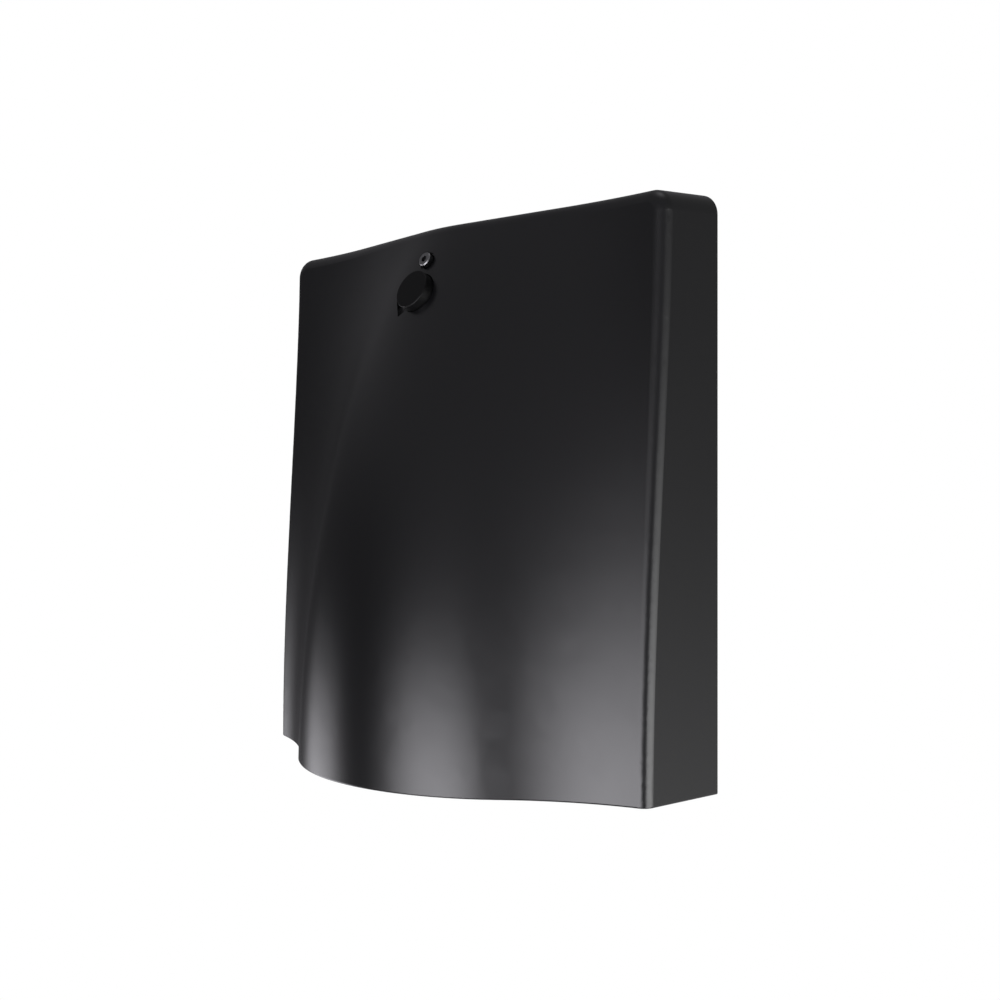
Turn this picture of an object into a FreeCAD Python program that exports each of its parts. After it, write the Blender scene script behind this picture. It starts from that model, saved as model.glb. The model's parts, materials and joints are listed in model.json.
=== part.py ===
import FreeCAD, Part
import math
import os
import re
import Sketcher

# Outdoor emergency light with a waved cast cover that hinges down from a wall plate.
# Millimetres. While a piece is drawn, x runs to the right, depth runs forwards from the rear plane of the
# cover and height runs up from its lower edge. Each finished piece is then moved so that the origin is the
# centre of the wall screws on the wall, with the front towards -Y.

sizes = {
    # cover: outline, wave and shell
    "cover_width": 200,
    "cover_height": 201.4,
    "crest_depth": 77.6,
    "crest_depth_top": 33,
    "side_depth": 34.2,
    "side_depth_top": 26.3,
    "flank_ratio": 1.92,
    "flank_ratio_top": 1.66,
    "crest_round": 82,
    "crest_round_top": 64.5,
    "valley_round": 125,
    "valley_round_top": 184.5,
    "valley_share": 0.93,
    "edge_share": 0.78,
    "edge_share_top": 1.09,
    "side_draft": 5.3,
    "top_draft": 3.6,
    "corner_round": 7.5,
    "edge_round": 4.6,
    "rim_round": 0.6,
    "cover_wall": 2.5,
    # place on the wall
    "wall_seal": 1.5,
    "wall_hole_side": 16,
    "wall_hole_foot": 28.7,
    "wall_hole_radius": 2.6,
    # back plate, cover seal and ledge
    "plate_thick": 3,
    "plate_gap": 1.2,
    "plate_foot": 2,
    "plate_corner": 5,
    "corner_notch": 7.4,
    "seal_room": 2,
    "seal_play": 0.15,
    "seal_width": 5,
    "seal_inset": 0.8,
    "seal_foot": 10.5,
    "ledge_thick": 2.5,
    "ledge_cover": 2,
    # hinge
    "hinge_height": 3.2,
    "knuckle_radius": 3,
    "knuckle_gap": 0.3,
    "lug_side": 10,
    "lug_width": 4.7,
    "pin_radius": 1.5,
    "pin_length": 10,
    "pin_fit": 0.02,
    "pin_play": 0.05,
    # lens in the underside
    "floor_height": 8,
    "floor_thick": 2.5,
    "opening_inset": 15,
    "opening_rear": 20,
    "lens_inset": 10.5,
    "lens_rear": 15.5,
    "lens_thick": 3,
    "lens_seal": 1,
    "seal_margin": 0.6,
    "retainer_inset": 3.6,
    "retainer_rear": 8.6,
    "retainer_bar": 10.4,
    "retainer_thick": 1.5,
    "post_radius": 2.6,
    "post_inset": 6.7,
    "post_flank_step": 5.4,
    "post_rear_side": 28,
    "post_rear": 11.8,
    # small screws: lens, boards, straps
    "small_head": 2.75,
    "small_head_thick": 2,
    "small_shank": 1.4,
    "small_play": 0.1,
    "small_reach": 3.2,
    # button
    "button_drop": 27.7,
    "button_radius": 7.4,
    "button_gap": 0.4,
    "button_rise": 3.2,
    "button_cap": 4.4,
    "button_bevel": 0.2,
    "button_travel": 1.5,
    "pocket_depth": 7,
    "boss_wall": 3.4,
    "boss_depth": 12,
    "stem_radius": 4.5,
    "stem_play": 0.05,
    "clip_groove": 3.8,
    "clip_radius": 6.2,
    "clip_thick": 0.8,
    "clip_gap": 0.2,
    "stem_tail": 1.2,
    "tip_radius": 2,
    "tip_depth": 20,
    "boot_wall": 0.8,
    "boot_play": 0.1,
    "notch_width": 8,
    "notch_reach": 3,
    "notch_angle": 61,
    "notch_sink": 2.4,
    # cover screw
    "screw_drop": 15.5,
    "head_radius": 2.85,
    "head_thick": 2.4,
    "head_bore": 3.5,
    "seat_depth": 0.6,
    "socket_radius": 1.45,
    "socket_depth": 1.5,
    "shank_radius": 1.45,
    "shank_hole": 1.7,
    "screw_boss": 5,
    "screw_boss_depth": 10,
    "screw_reach": 29.5,
    "ring_depth": 20.6,
    "ring_thick": 1,
    "ring_groove": 1.1,
    "ring_radius": 2.6,
    "insert_mouth": 22.5,
    "insert_length": 7.5,
    "insert_radius": 2.3,
    "thread_radius": 1.5,
    "tower_radius": 4.5,
    # test switch behind the button
    "tip_gap": 0.1,
    "plunger_radius": 1.75,
    "plunger_length": 1,
    "switch_side": 6,
    "switch_thick": 3.5,
    "switch_board_x": 20,
    "switch_board_side": 14,
    "switch_post_x": 12,
    "switch_post_side": 9,
    "board_thick": 1.6,
    # light engine
    "shelf_side": 33.2,
    "shelf_height": 42,
    "shelf_depth": 43,
    "bracket_thick": 3,
    "bracket_drop": 22,
    "fin_height": 10,
    "fin_depth": 36,
    "fin_thick": 2.4,
    "fin_x_inner": 16,
    "fin_side": 7,
    "bracket_screw_x": 34,
    "bracket_screw_drop": 12,
    "big_head": 3.5,
    "big_head_thick": 2.6,
    "big_shank": 1.9,
    "led_board_side": 5,
    "led_board_rear": 9,
    "led_board_depth": 32,
    "led_side": 3.5,
    "led_thick": 1,
    "led_x_inner": 12,
    "led_side_gap": 14,
    "led_row": 8,
    "optic_drop": 5,
    "optic_thick": 1.6,
    "optic_side": 5,
    "optic_depth": 28,
    "optic_bell": 6,
    "optic_mouth": 2.4,
    "optic_fall": 4,
    "optic_foot": 1.5,
    "led_screw_side": 3,
    "led_screw_inset": 4,
    # driver board
    "board_left": 16,
    "board_side": 4.2,
    "board_foot": 60,
    "board_roof": 45.4,
    "standoff": 8,
    "standoff_radius": 3,
    "board_inset": 4.5,
    "sheet_thick": 0.4,
    "transformer_in": 20,
    "transformer_share": 0.7,
    "transformer_wide": 24,
    "transformer_tall": 26,
    "transformer_deep": 19,
    "core_wall": 5,
    "capacitor_in": 20,
    "capacitor_share": 0.5,
    "capacitor_pitch": 15,
    "capacitor_radius": 5,
    "capacitor_deep": 13,
    "relay_in": 17,
    "relay_share": 0.25,
    "relay_wide": 18,
    "relay_tall": 14,
    "relay_deep": 13,
    "choke_in": 24,
    "choke_share": 0.29,
    "choke_radius": 7,
    "choke_bore": 3,
    "choke_deep": 8,
    "terminal_in": 18,
    "terminal_share": 0.42,
    "terminal_wide": 20,
    "terminal_tall": 9,
    "terminal_deep": 11,
    "socket_wide": 10,
    "socket_tall": 6,
    "socket_deep": 9,
    "led_socket_in": 19,
    "led_socket_up": 8,
    "battery_socket_in": 14,
    "battery_socket_up": 8,
    "switch_socket_in": 26,
    "switch_socket_down": 6,
    # battery
    "battery_side": 3.5,
    "battery_foot": 62,
    "cell_radius": 11,
    "cell_length": 43,
    "cell_gap": 1,
    "cell_pitch": 23,
    "cell_play": 0.2,
    "holder_floor": 3,
    "holder_rim": 4,
    "holder_margin": 2,
    "strap_thick": 1,
    "strap_width": 8,
    "strap_foot": 9,
    # cable entry and earth
    "grommet_hole": 11,
    "grommet_bore": 5.5,
    "grommet_flange": 14,
    "grommet_lip": 1.2,
    "grommet_play": 0.1,
    "earth_drop": 22.7,
    # leads
    "lead_radius": 0.8,
    "lead_bend": 2.5,
    "lead_touch": 0.05,
    "lead_spread": 1.5,
    "lead_slide": 1.5,
}

# Sizes that follow from others.
derived = {
    "mount_height": "(cover_height / 2)",
    "crest_drop": "(crest_depth - crest_depth_top)",
    "crest_radius": "((cover_height ^ 2 + crest_drop ^ 2) / (2 * crest_drop))",
    "plate_half": "(cover_width / 2 - cover_wall - plate_thick * tan(side_draft) - plate_gap)",
    "plate_top": "(cover_height - cover_wall - plate_thick * tan(top_draft) - plate_gap)",
    "seal_half": "(plate_half - seal_inset)",
    "seal_top": "(plate_top - seal_inset)",
    "ledge_half": "(seal_half - seal_width - ledge_cover)",
    "ledge_top": "(seal_top - seal_width - ledge_cover)",
    "ledge_foot": "(seal_foot + seal_width + ledge_cover)",
    "wall_hole_x": "(plate_half - wall_hole_side)",
    "wall_hole_z": "(mount_height - wall_hole_foot)",
    "lug_inner": "(plate_half - lug_side)",
    "hinge_depth": "(plate_thick + seal_room)",
    "post_rear_x": "(cover_width / 2 - post_rear_side)",
    "button_height": "(cover_height - button_drop)",
    "screw_height": "(cover_height - screw_drop)",
    "shelf_half": "(ledge_half - shelf_side)",
    "fin_x_outer": "(shelf_half - fin_side)",
    "led_board_half": "(shelf_half - led_board_side)",
    "led_x_outer": "(led_board_half - led_side_gap)",
    "optic_half": "(led_board_half - optic_side)",
    "led_screw_x": "(led_board_half - led_screw_side)",
    "board_right": "(ledge_half - board_side)",
    "board_width": "(board_right - board_left)",
    "board_tall": "(cover_height - board_roof - board_foot)",
    "transformer_x": "(board_left + transformer_in)",
    "transformer_z": "(board_foot + transformer_share * board_tall)",
    "capacitor_x": "(board_right - capacitor_in)",
    "capacitor_z": "(board_foot + capacitor_share * board_tall)",
    "relay_x": "(board_left + relay_in)",
    "relay_z": "(board_foot + relay_share * board_tall)",
    "choke_x": "(board_right - choke_in)",
    "choke_z": "(board_foot + choke_share * board_tall)",
    "terminal_x": "(board_left + terminal_in)",
    "terminal_z": "(board_foot + terminal_share * board_tall)",
    "led_socket_x": "(board_right - led_socket_in)",
    "led_socket_z": "(board_foot + led_socket_up)",
    "battery_socket_x": "(board_left + battery_socket_in)",
    "battery_socket_z": "(board_foot + battery_socket_up)",
    "switch_socket_x": "(board_left + switch_socket_in)",
    "switch_socket_z": "(board_foot + board_tall - switch_socket_down)",
    "strap_edge": "(cell_pitch / 2 + cell_radius + holder_margin + cell_play)",
    "battery_x": "(ledge_half - battery_side - strap_edge - strap_thick - strap_foot)",
    "earth_z": "(mount_height - earth_drop)",
}

doc = FreeCAD.newDocument("emergency_light")
sheet = doc.addObject("Spreadsheet::Sheet", "Sizes")
for row, (alias, size) in enumerate(sizes.items(), start=1):
    sheet.set("A%d" % row, alias)
    sheet.set("B%d" % row, str(size))
    sheet.setAlias("B%d" % row, alias)
doc.recompute()

word = re.compile(r"[a-z_][a-z0-9_]*")
nodes = []


def bound(text):
    def expand(hit):
        name = hit.group()
        if name in derived:
            return bound(derived[name])
        return "Sizes." + name if name in sizes else name
    return word.sub(expand, str(text))


def value(text):
    result = sheet.evalExpression(bound(text))
    return float(getattr(result, "Value", result))


def drive(thing, path, text):
    thing.setExpression(path, bound(text))


def place(thing, x, depth, height):
    drive(thing, "Placement.Base.x", x)
    drive(thing, "Placement.Base.y", "-(%s)" % depth)
    drive(thing, "Placement.Base.z", height)


def turn(thing, axis, angle):
    thing.Placement = FreeCAD.Placement(FreeCAD.Vector(), FreeCAD.Rotation(axis, 1))
    drive(thing, "Placement.Rotation.Angle", angle)


# A finished piece: its label names the file, and it moves from drawing place to wall place.
def finish(thing, name):
    thing.Label = name
    drive(thing, "Placement.Base.y", "-wall_seal")
    drive(thing, "Placement.Base.z", "-mount_height")
    nodes.append(thing)


def block(name, left, rear, foot, wide, deep, tall):
    box = doc.addObject("Part::Box", name)
    drive(box, "Length", wide)
    drive(box, "Width", deep)
    drive(box, "Height", tall)
    place(box, left, "%s + %s" % (rear, deep), foot)
    return box


def middle_block(name, centre, rear, foot, wide, deep, tall):
    return block(name, "%s - (%s) / 2" % (centre, wide), rear, foot, wide, deep, tall)


def rod(name, along, x, depth, height, radius, length):
    cylinder = doc.addObject("Part::Cylinder", name)
    drive(cylinder, "Radius", radius)
    drive(cylinder, "Height", length)
    if along == "front":
        turn(cylinder, FreeCAD.Vector(1, 0, 0), "90")
    if along == "right":
        turn(cylinder, FreeCAD.Vector(0, 1, 0), "90")
    place(cylinder, x, depth, height)
    return cylinder


def join(name, things):
    fusion = doc.addObject("Part::MultiFuse", name)
    fusion.Shapes = things
    return fusion


def cut(name, base, things):
    tool = things[0]
    if len(things) > 1:
        tool = join(name + "_tools", things)
    result = doc.addObject("Part::Cut", name)
    result.Base = base
    result.Tool = tool
    return result


def group(name, things):
    bundle = doc.addObject("Part::Compound", name)
    bundle.Links = things
    return bundle


# Sketches sit on a base plane of their own body.
def new_body(name):
    return doc.addObject("PartDesign::Body", name)


def new_sketch(body, name, role, offset="0"):
    sketch = body.newObject("Sketcher::SketchObject", name)
    plane = [item for item in body.Origin.OriginFeatures if item.Role == role][0]
    sketch.AttachmentSupport = [(plane, "")]
    sketch.MapMode = "FlatFace"
    drive(sketch, "AttachmentOffset.Base.z", offset)
    return sketch


def hold(sketch, kind, ids, text):
    index = sketch.addConstraint(Sketcher.Constraint(kind, *ids, value(text)))
    sketch.setExpression("Constraints[%d]" % index, bound(text))


# One corner of a sketch at bound coordinates.
def pin_point(sketch, geometry, point, x, y):
    for kind, axis, text in (("DistanceX", -2, x), ("DistanceY", -1, y)):
        number = value(text)
        if abs(number) < 1e-9:
            sketch.addConstraint(Sketcher.Constraint("PointOnObject", geometry, point, axis))
        elif number > 0:
            hold(sketch, kind, (-1, 1, geometry, point), text)
        else:
            hold(sketch, kind, (geometry, point, -1, 1), "-(%s)" % text)


def polygon(sketch, corners):
    spots = [FreeCAD.Vector(value(x), value(y), 0) for x, y in corners]
    first = sketch.GeometryCount
    for index, spot in enumerate(spots):
        sketch.addGeometry(Part.LineSegment(spot, spots[(index + 1) % len(spots)]), False)
    for index, (x, y) in enumerate(corners):
        following = (index + 1) % len(corners)
        sketch.addConstraint(Sketcher.Constraint("Coincident", first + index, 2, first + following, 1))
        pin_point(sketch, first + index, 1, x, y)


def circle(sketch, x, y, radius):
    ring = Part.Circle(FreeCAD.Vector(value(x), value(y), 0), FreeCAD.Vector(0, 0, 1), value(radius))
    index = sketch.addGeometry(ring, False)
    pin_point(sketch, index, 3, x, y)
    hold(sketch, "Radius", (index,), radius)


def pad(body, sketch, length):
    feature = body.newObject("PartDesign::Pad", sketch.Name + "_pad")
    feature.Profile = sketch
    drive(feature, "Length", length)
    return feature


# A turned piece about its own Z axis, from corners given as radius and height.
def turned(name, corners):
    body = new_body(name)
    sketch = new_sketch(body, name + "_half", "XZ_Plane")
    polygon(sketch, corners)
    feature = body.newObject("PartDesign::Revolution", name + "_turn")
    feature.Profile = sketch
    feature.ReferenceAxis = (sketch, ["V_Axis"])
    feature.Angle = 360
    return body


# The wave of the front at one height. The crest and the valleys are arcs that a straight flank joins, and
# an inset moves the whole section inwards.
def wave_terms(level, inset):
    share = "((%s) / cover_height)" % level
    crest = "(crest_depth - crest_radius + sqrt(crest_radius ^ 2 - (%s) ^ 2))" % level
    side = "(side_depth + (side_depth_top - side_depth) * %s ^ 2 * (3 - 2 * %s))" % (share, share)
    half = "(cover_width / 2 - %s * tan(side_draft))" % side
    steep = "(flank_ratio + (flank_ratio_top - flank_ratio) * %s)" % share
    flank = "atan(%s * (%s - %s) / %s)" % (steep, crest, side, half)
    crest_arc = "(crest_round + (crest_round_top - crest_round) * %s)" % share
    valley_arc = "(valley_round + (valley_round_top - valley_round) * %s)" % share
    # The valley is never so wide that the flank has no straight part left.
    run = "(%s - %s * sin(%s))" % (half, crest_arc, flank)
    fall = "(%s - %s * (1 - cos(%s)) - %s)" % (crest, crest_arc, flank, side)
    away = "(%s * sin(%s) - %s * cos(%s))" % (run, flank, fall, flank)
    widest = "(valley_share * (%s ^ 2 + %s ^ 2) / (2 * %s))" % (run, fall, away)
    return {
        "crest": "(%s - (%s))" % (crest, inset),
        "side": "(%s - (%s) * (edge_share + (edge_share_top - edge_share) * %s))" % (side, inset, share),
        "half": "(%s - (%s))" % (half, inset),
        "flank": flank,
        "crest_arc": "(%s - (%s))" % (crest_arc, inset),
        "valley_arc": "(min(%s; %s) + (%s))" % (valley_arc, widest, inset),
    }


# Numbers of one section: where the crest arc ends, where the valley arc starts, and both centres.
def wave_numbers(terms):
    wave = {name: value(text) for name, text in terms.items()}
    angle = math.radians(wave["flank"])
    along = (math.cos(angle), -math.sin(angle))
    ahead = (math.sin(angle), math.cos(angle))
    wave["crest_x"] = wave["crest_arc"] * math.sin(angle)
    wave["crest_end"] = wave["crest"] - wave["crest_arc"] * (1 - math.cos(angle))
    gap_x = wave["half"] - wave["crest_x"]
    gap_d = wave["side"] - wave["crest_end"]
    across = gap_x * ahead[0] + gap_d * ahead[1]
    straight = gap_x * along[0] + gap_d * along[1]
    straight -= math.sqrt(across * (2 * wave["valley_arc"] - across))
    wave["valley_x"] = wave["crest_x"] + straight * along[0]
    wave["valley_end"] = wave["crest_end"] + straight * along[1]
    wave["centre_x"] = wave["valley_x"] + wave["valley_arc"] * ahead[0]
    wave["centre_d"] = wave["valley_end"] + wave["valley_arc"] * ahead[1]
    return wave


def wave_depth(wave, x):
    x = abs(x)
    if x <= wave["crest_x"]:
        return wave["crest"] - wave["crest_arc"] + math.sqrt(wave["crest_arc"] ** 2 - x ** 2)
    if x >= wave["valley_x"]:
        return wave["centre_d"] - math.sqrt(wave["valley_arc"] ** 2 - (x - wave["centre_x"]) ** 2)
    slope = math.tan(math.radians(wave["flank"]))
    return wave["crest_end"] - (x - wave["crest_x"]) * slope


# Everything in front of the waved surface, as one smooth sheet pushed forwards.
def wave_front(name, inset):
    columns = 31
    rows = 19
    margin = 6
    reach = value("cover_width") / 2 + margin
    grid = []
    for row in range(rows):
        level = -margin + row * (value("cover_height") + 2 * margin) / (rows - 1)
        wave = wave_numbers(wave_terms("%.6f" % level, inset))
        line = []
        for column in range(columns):
            x = -reach + 2 * reach * column / (columns - 1)
            line.append(FreeCAD.Vector(x, -wave_depth(wave, x), level))
        grid.append(line)
    surface = Part.BSplineSurface()
    surface.interpolate(grid)
    solid = surface.toShape().extrude(FreeCAD.Vector(0, -2 * value("crest_depth"), 0))
    if solid.Volume < 0:
        solid.reverse()
    feature = doc.addObject("Part::Feature", name)
    feature.Shape = solid
    return feature


# The drafted block that the cover is cut from, with rounded top corners.
def drafted(name, inset, foot, rear, round_size):
    body = new_body(name)
    wedge = body.newObject("PartDesign::AdditiveWedge", name + "_wedge")
    front = "(crest_depth + 8)"
    rear_half = "(cover_width / 2 - %s - (%s) * tan(side_draft))" % (inset, rear)
    front_half = "(cover_width / 2 - %s - %s * tan(side_draft))" % (inset, front)
    drive(wedge, "Ymin", "-%s" % front)
    drive(wedge, "Ymax", "-(%s)" % rear)
    drive(wedge, "Xmin", "-%s" % front_half)
    drive(wedge, "Xmax", front_half)
    drive(wedge, "X2min", "-%s" % rear_half)
    drive(wedge, "X2max", rear_half)
    drive(wedge, "Zmin", foot)
    drive(wedge, "Z2min", foot)
    drive(wedge, "Zmax", "cover_height - %s - %s * tan(top_draft)" % (inset, front))
    drive(wedge, "Z2max", "cover_height - %s - (%s) * tan(top_draft)" % (inset, rear))
    doc.recompute()
    half_height = value("cover_height") / 2
    edges = []
    for index, edge in enumerate(wedge.Shape.Edges, start=1):
        ends = [vertex.Point for vertex in edge.Vertexes]
        if abs(ends[0].y - ends[1].y) > 1 and min(end.z for end in ends) > half_height:
            edges.append("Edge%d" % index)
    fillet = body.newObject("PartDesign::Fillet", name + "_corners")
    fillet.Base = (wedge, edges)
    drive(fillet, "Radius", round_size)
    doc.recompute()
    return body


# A flat outline that follows the wave at one height, closed by a straight rear edge.
def wave_outline(body, name, level, inset, rear):
    terms = wave_terms(level, inset)
    wave = wave_numbers(terms)
    sketch = new_sketch(body, name, "XY_Plane", level)
    flank = math.radians(wave["flank"])
    rear_half = "(cover_width / 2 - (%s) * tan(side_draft) - (%s))" % (rear, inset)
    up = FreeCAD.Vector(0, 0, 1)
    back_right = FreeCAD.Vector(value(rear_half), -value(rear), 0)
    side_right = FreeCAD.Vector(wave["half"], -wave["side"], 0)
    join_right = FreeCAD.Vector(wave["valley_x"], -wave["valley_end"], 0)
    crest_right = FreeCAD.Vector(wave["crest_x"], -wave["crest_end"], 0)
    mirror = lambda spot: FreeCAD.Vector(-spot.x, spot.y, 0)
    centre = FreeCAD.Vector(wave["centre_x"], -wave["centre_d"], 0)
    edge_angle = math.atan2(side_right.y - centre.y, side_right.x - centre.x)
    crest_centre = FreeCAD.Vector(0, -(wave["crest"] - wave["crest_arc"]), 0)
    quarter = math.pi / 2
    right_valley = Part.Circle(centre, up, wave["valley_arc"])
    left_valley = Part.Circle(mirror(centre), up, wave["valley_arc"])
    crest_circle = Part.Circle(crest_centre, up, wave["crest_arc"])
    shapes = [
        Part.LineSegment(mirror(back_right), back_right),
        Part.LineSegment(back_right, side_right),
        Part.ArcOfCircle(right_valley, edge_angle, quarter + flank),
        Part.LineSegment(crest_right, join_right),
        Part.ArcOfCircle(crest_circle, 3 * quarter - flank, 3 * quarter + flank),
        Part.LineSegment(mirror(crest_right), mirror(join_right)),
        Part.ArcOfCircle(left_valley, quarter - flank, 2 * quarter - edge_angle),
        Part.LineSegment(mirror(side_right), mirror(back_right)),
    ]
    sketch.addGeometry(shapes, False)
    for first, first_end, second, second_end in ((7, 2, 0, 1), (0, 2, 1, 1), (1, 2, 2, 1), (6, 2, 7, 1)):
        sketch.addConstraint(Sketcher.Constraint("Coincident", first, first_end, second, second_end))
    for first, first_end, second, second_end in ((2, 2, 3, 2), (3, 1, 4, 2), (4, 1, 5, 1), (5, 2, 6, 1)):
        sketch.addConstraint(Sketcher.Constraint("Tangent", first, first_end, second, second_end))
    sketch.addConstraint(Sketcher.Constraint("Symmetric", 0, 1, 0, 2, -2))
    sketch.addConstraint(Sketcher.Constraint("Symmetric", 1, 2, 7, 1, -2))
    sketch.addConstraint(Sketcher.Constraint("PointOnObject", 4, 3, -2))
    sketch.addConstraint(Sketcher.Constraint("Equal", 2, 6))
    sketch.addConstraint(Sketcher.Constraint("Equal", 3, 5))
    hold(sketch, "DistanceX", (-1, 1, 0, 2), rear_half)
    hold(sketch, "DistanceY", (0, 2, -1, 1), rear)
    hold(sketch, "DistanceX", (-1, 1, 1, 2), terms["half"])
    hold(sketch, "DistanceY", (1, 2, -1, 1), terms["side"])
    hold(sketch, "Radius", (4,), terms["crest_arc"])
    hold(sketch, "Radius", (2,), terms["valley_arc"])
    arc_middle = "%s - %s" % (terms["crest"], terms["crest_arc"])
    if value(arc_middle) > 0:
        hold(sketch, "DistanceY", (4, 3, -1, 1), arc_middle)
    else:
        hold(sketch, "DistanceY", (-1, 1, 4, 3), "-(%s)" % arc_middle)
    index = sketch.addConstraint(Sketcher.Constraint("Angle", 3, flank))
    sketch.setExpression("Constraints[%d]" % index, bound(terms["flank"]))
    return sketch


def wave_plate(name, level, inset, rear, thick):
    body = new_body(name)
    pad(body, wave_outline(body, name + "_outline", level, inset, rear), thick)
    return body


# The button and the screw stand square to the crest at the button's height. Their depths count outwards
# along that direction from the surface of the crest.
tilt = "asin(button_height / crest_radius)"
button_depth = wave_terms("button_height", "0")["crest"]
screw_depth = wave_terms("screw_height", "0")["crest"]


def tilted_spot(depth, height, out):
    return "(%s) + (%s) * cos(%s)" % (depth, out, tilt), "%s + (%s) * sin(%s)" % (height, out, tilt)


def lean(thing, depth, height, out):
    turn(thing, FreeCAD.Vector(1, 0, 0), "90 deg - %s" % tilt)
    spot_depth, spot_height = tilted_spot(depth, height, out)
    place(thing, "0", spot_depth, spot_height)


# A piece drawn about its own axis moves to its tilted wall place.
def finish_lean(thing, name, depth, height, out):
    lean(thing, "wall_seal + " + depth, height + " - mount_height", out)
    thing.Label = name
    nodes.append(thing)


def tilted_rod(name, depth, height, start, length, radius):
    cylinder = doc.addObject("Part::Cylinder", name)
    drive(cylinder, "Radius", radius)
    drive(cylinder, "Height", length)
    lean(cylinder, depth, height, start)
    return cylinder


# Names and sums of sizes that several pieces share.
hinge_depth = "hinge_depth"
pocket_radius = "(button_radius + button_gap)"
plate_half = "plate_half"
plate_top = "plate_top"
seal_half = "seal_half"
seal_top = "seal_top"
ledge_half = "ledge_half"
ledge_top = "ledge_top"
ledge_foot = "ledge_foot"
floor_top = "(floor_height + floor_thick)"
lens_level = "(%s + lens_seal)" % floor_top
retainer_level = "(%s + lens_thick)" % lens_level
retainer_top = "(%s + retainer_thick)" % retainer_level

# Lens posts: one behind the crest, two behind the flanks and two at the rear.
post_wave = wave_terms("floor_height", "0")
derived["post_flank_x"] = "(%s * sin(%s) + post_flank_step)" % (post_wave["crest_arc"], post_wave["flank"])
flank_run = "(%s - %s * (1 - cos(%s)) - post_flank_step * tan(%s))" % (
    post_wave["crest"], post_wave["crest_arc"], post_wave["flank"], post_wave["flank"])
post_spots = [
    ("0", "%s - post_inset" % post_wave["crest"]),
    ("post_flank_x", "%s - post_inset / cos(%s)" % (flank_run, post_wave["flank"])),
    ("-post_flank_x", "%s - post_inset / cos(%s)" % (flank_run, post_wave["flank"])),
    ("post_rear_x", "post_rear"),
    ("-post_rear_x", "post_rear"),
]

# front_cover: the drafted block less everything in front of the wave, with a rounded front edge.
outer_block = drafted("cover_block", "0", "0", "0", "corner_round")
outer_form = cut("cover_form", outer_block, [wave_front("wave_outer", "0")])
doc.recompute()
# The front edge and the lower rim are rounded in one step, since they meet at the lower corners.
flush = 0.01
edge_radius = value("edge_round")
rim_radius = value("rim_round")
rounded_edges = []
for index, edge in enumerate(outer_form.Shape.Edges, start=1):
    box = edge.BoundBox
    leaves_rear = max(vertex.Y for vertex in edge.Vertexes) > -flush
    if box.ZMax < flush and box.YMin < -flush:
        rounded_edges.append((index, rim_radius, rim_radius))
    elif box.ZMax > flush and not leaves_rear:
        rounded_edges.append((index, edge_radius, edge_radius))
cover_rounded = doc.addObject("Part::Fillet", "cover_rounded")
cover_rounded.Base = outer_form
cover_rounded.Edges = rounded_edges
doc.recompute()

# The hollow leaves a ledge for the seal, a floor for the lens, posts, bosses and hinge knuckles standing.
hollow_block = drafted("hollow_block", "cover_wall", "-5", "-1", "corner_round - cover_wall")
hollow_form = cut("hollow_form", hollow_block, [wave_front("wave_inner", "cover_wall")])
ledge_wide = "cover_width"
ledge_slab = middle_block("ledge_slab", "0", hinge_depth, "floor_height", ledge_wide, "ledge_thick",
                          "cover_height")
ledge_hole = middle_block("ledge_hole", "0", hinge_depth + " - 1", ledge_foot,
                          "2 * %s" % ledge_half, "ledge_thick + 2", "%s - %s" % (ledge_top, ledge_foot))
ledge = cut("ledge", ledge_slab, [ledge_hole])
floor_slab = middle_block("floor_slab", "0", hinge_depth, "floor_height", ledge_wide, "crest_depth",
                          "floor_thick")
opening = wave_plate("lens_opening", "(floor_height - 1)", "opening_inset", "opening_rear", "floor_thick + 2")
floor = cut("floor", floor_slab, [opening])
kept = [ledge, floor]
for number, (x, depth) in enumerate(post_spots):
    post_tall = "%s - floor_height - floor_thick / 2" % retainer_level
    kept.append(rod("post_%d" % number, "up", x, depth, "floor_height + floor_thick / 2", "post_radius",
                    post_tall))
kept.append(tilted_rod("button_boss", button_depth, "button_height", "-boss_depth", "boss_depth + 6",
                       "%s + boss_wall" % pocket_radius))
kept.append(tilted_rod("screw_boss", screw_depth, "screw_height", "-screw_boss_depth", "screw_boss_depth + 6",
                       "screw_boss"))
knuckle_start = "(lug_inner + lug_width + knuckle_gap)"
for side, start in (("left", "-%s - 20" % knuckle_start), ("right", knuckle_start)):
    kept.append(rod("knuckle_" + side, "right", start, hinge_depth, "hinge_height", "knuckle_radius", "20"))
hollow = cut("hollow", hollow_form, kept)

drills = [
    tilted_rod("pocket", button_depth, "button_height", "-pocket_depth", "pocket_depth + 10", pocket_radius),
    tilted_rod("stem_bore", button_depth, "button_height", "-boss_depth - 2", "boss_depth + 4",
               "stem_radius + stem_play"),
    tilted_rod("head_bore", screw_depth, "screw_height", "-seat_depth", "seat_depth + 10", "head_bore"),
    tilted_rod("shank_bore", screw_depth, "screw_height", "-screw_boss_depth - 2", "screw_boss_depth + 4",
               "shank_hole"),
]
pin_end = "(lug_inner + pin_length + 0.2)"
pin_bore = rod("pin_bore", "right", "-" + pin_end, hinge_depth, "hinge_height", "pin_radius + pin_play",
               "2 * %s" % pin_end)
drills.append(pin_bore)
for number, (x, depth) in enumerate(post_spots):
    drills.append(rod("post_bore_%d" % number, "up", x, depth, "%s - small_reach - 0.3" % retainer_level,
                      "small_shank + small_play", "small_reach + 2"))
notch = doc.addObject("Part::Box", "notch")
drive(notch, "Length", "notch_width")
drive(notch, "Width", "%s + notch_reach" % pocket_radius)
drive(notch, "Height", "20")
notch_axis = FreeCAD.Rotation(FreeCAD.Vector(1, 0, 0), 90 - value(tilt))
notch_spin = FreeCAD.Rotation(FreeCAD.Vector(0, 0, 1), 180 - value("notch_angle"))
notch_turn = notch_axis.multiply(notch_spin)
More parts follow.
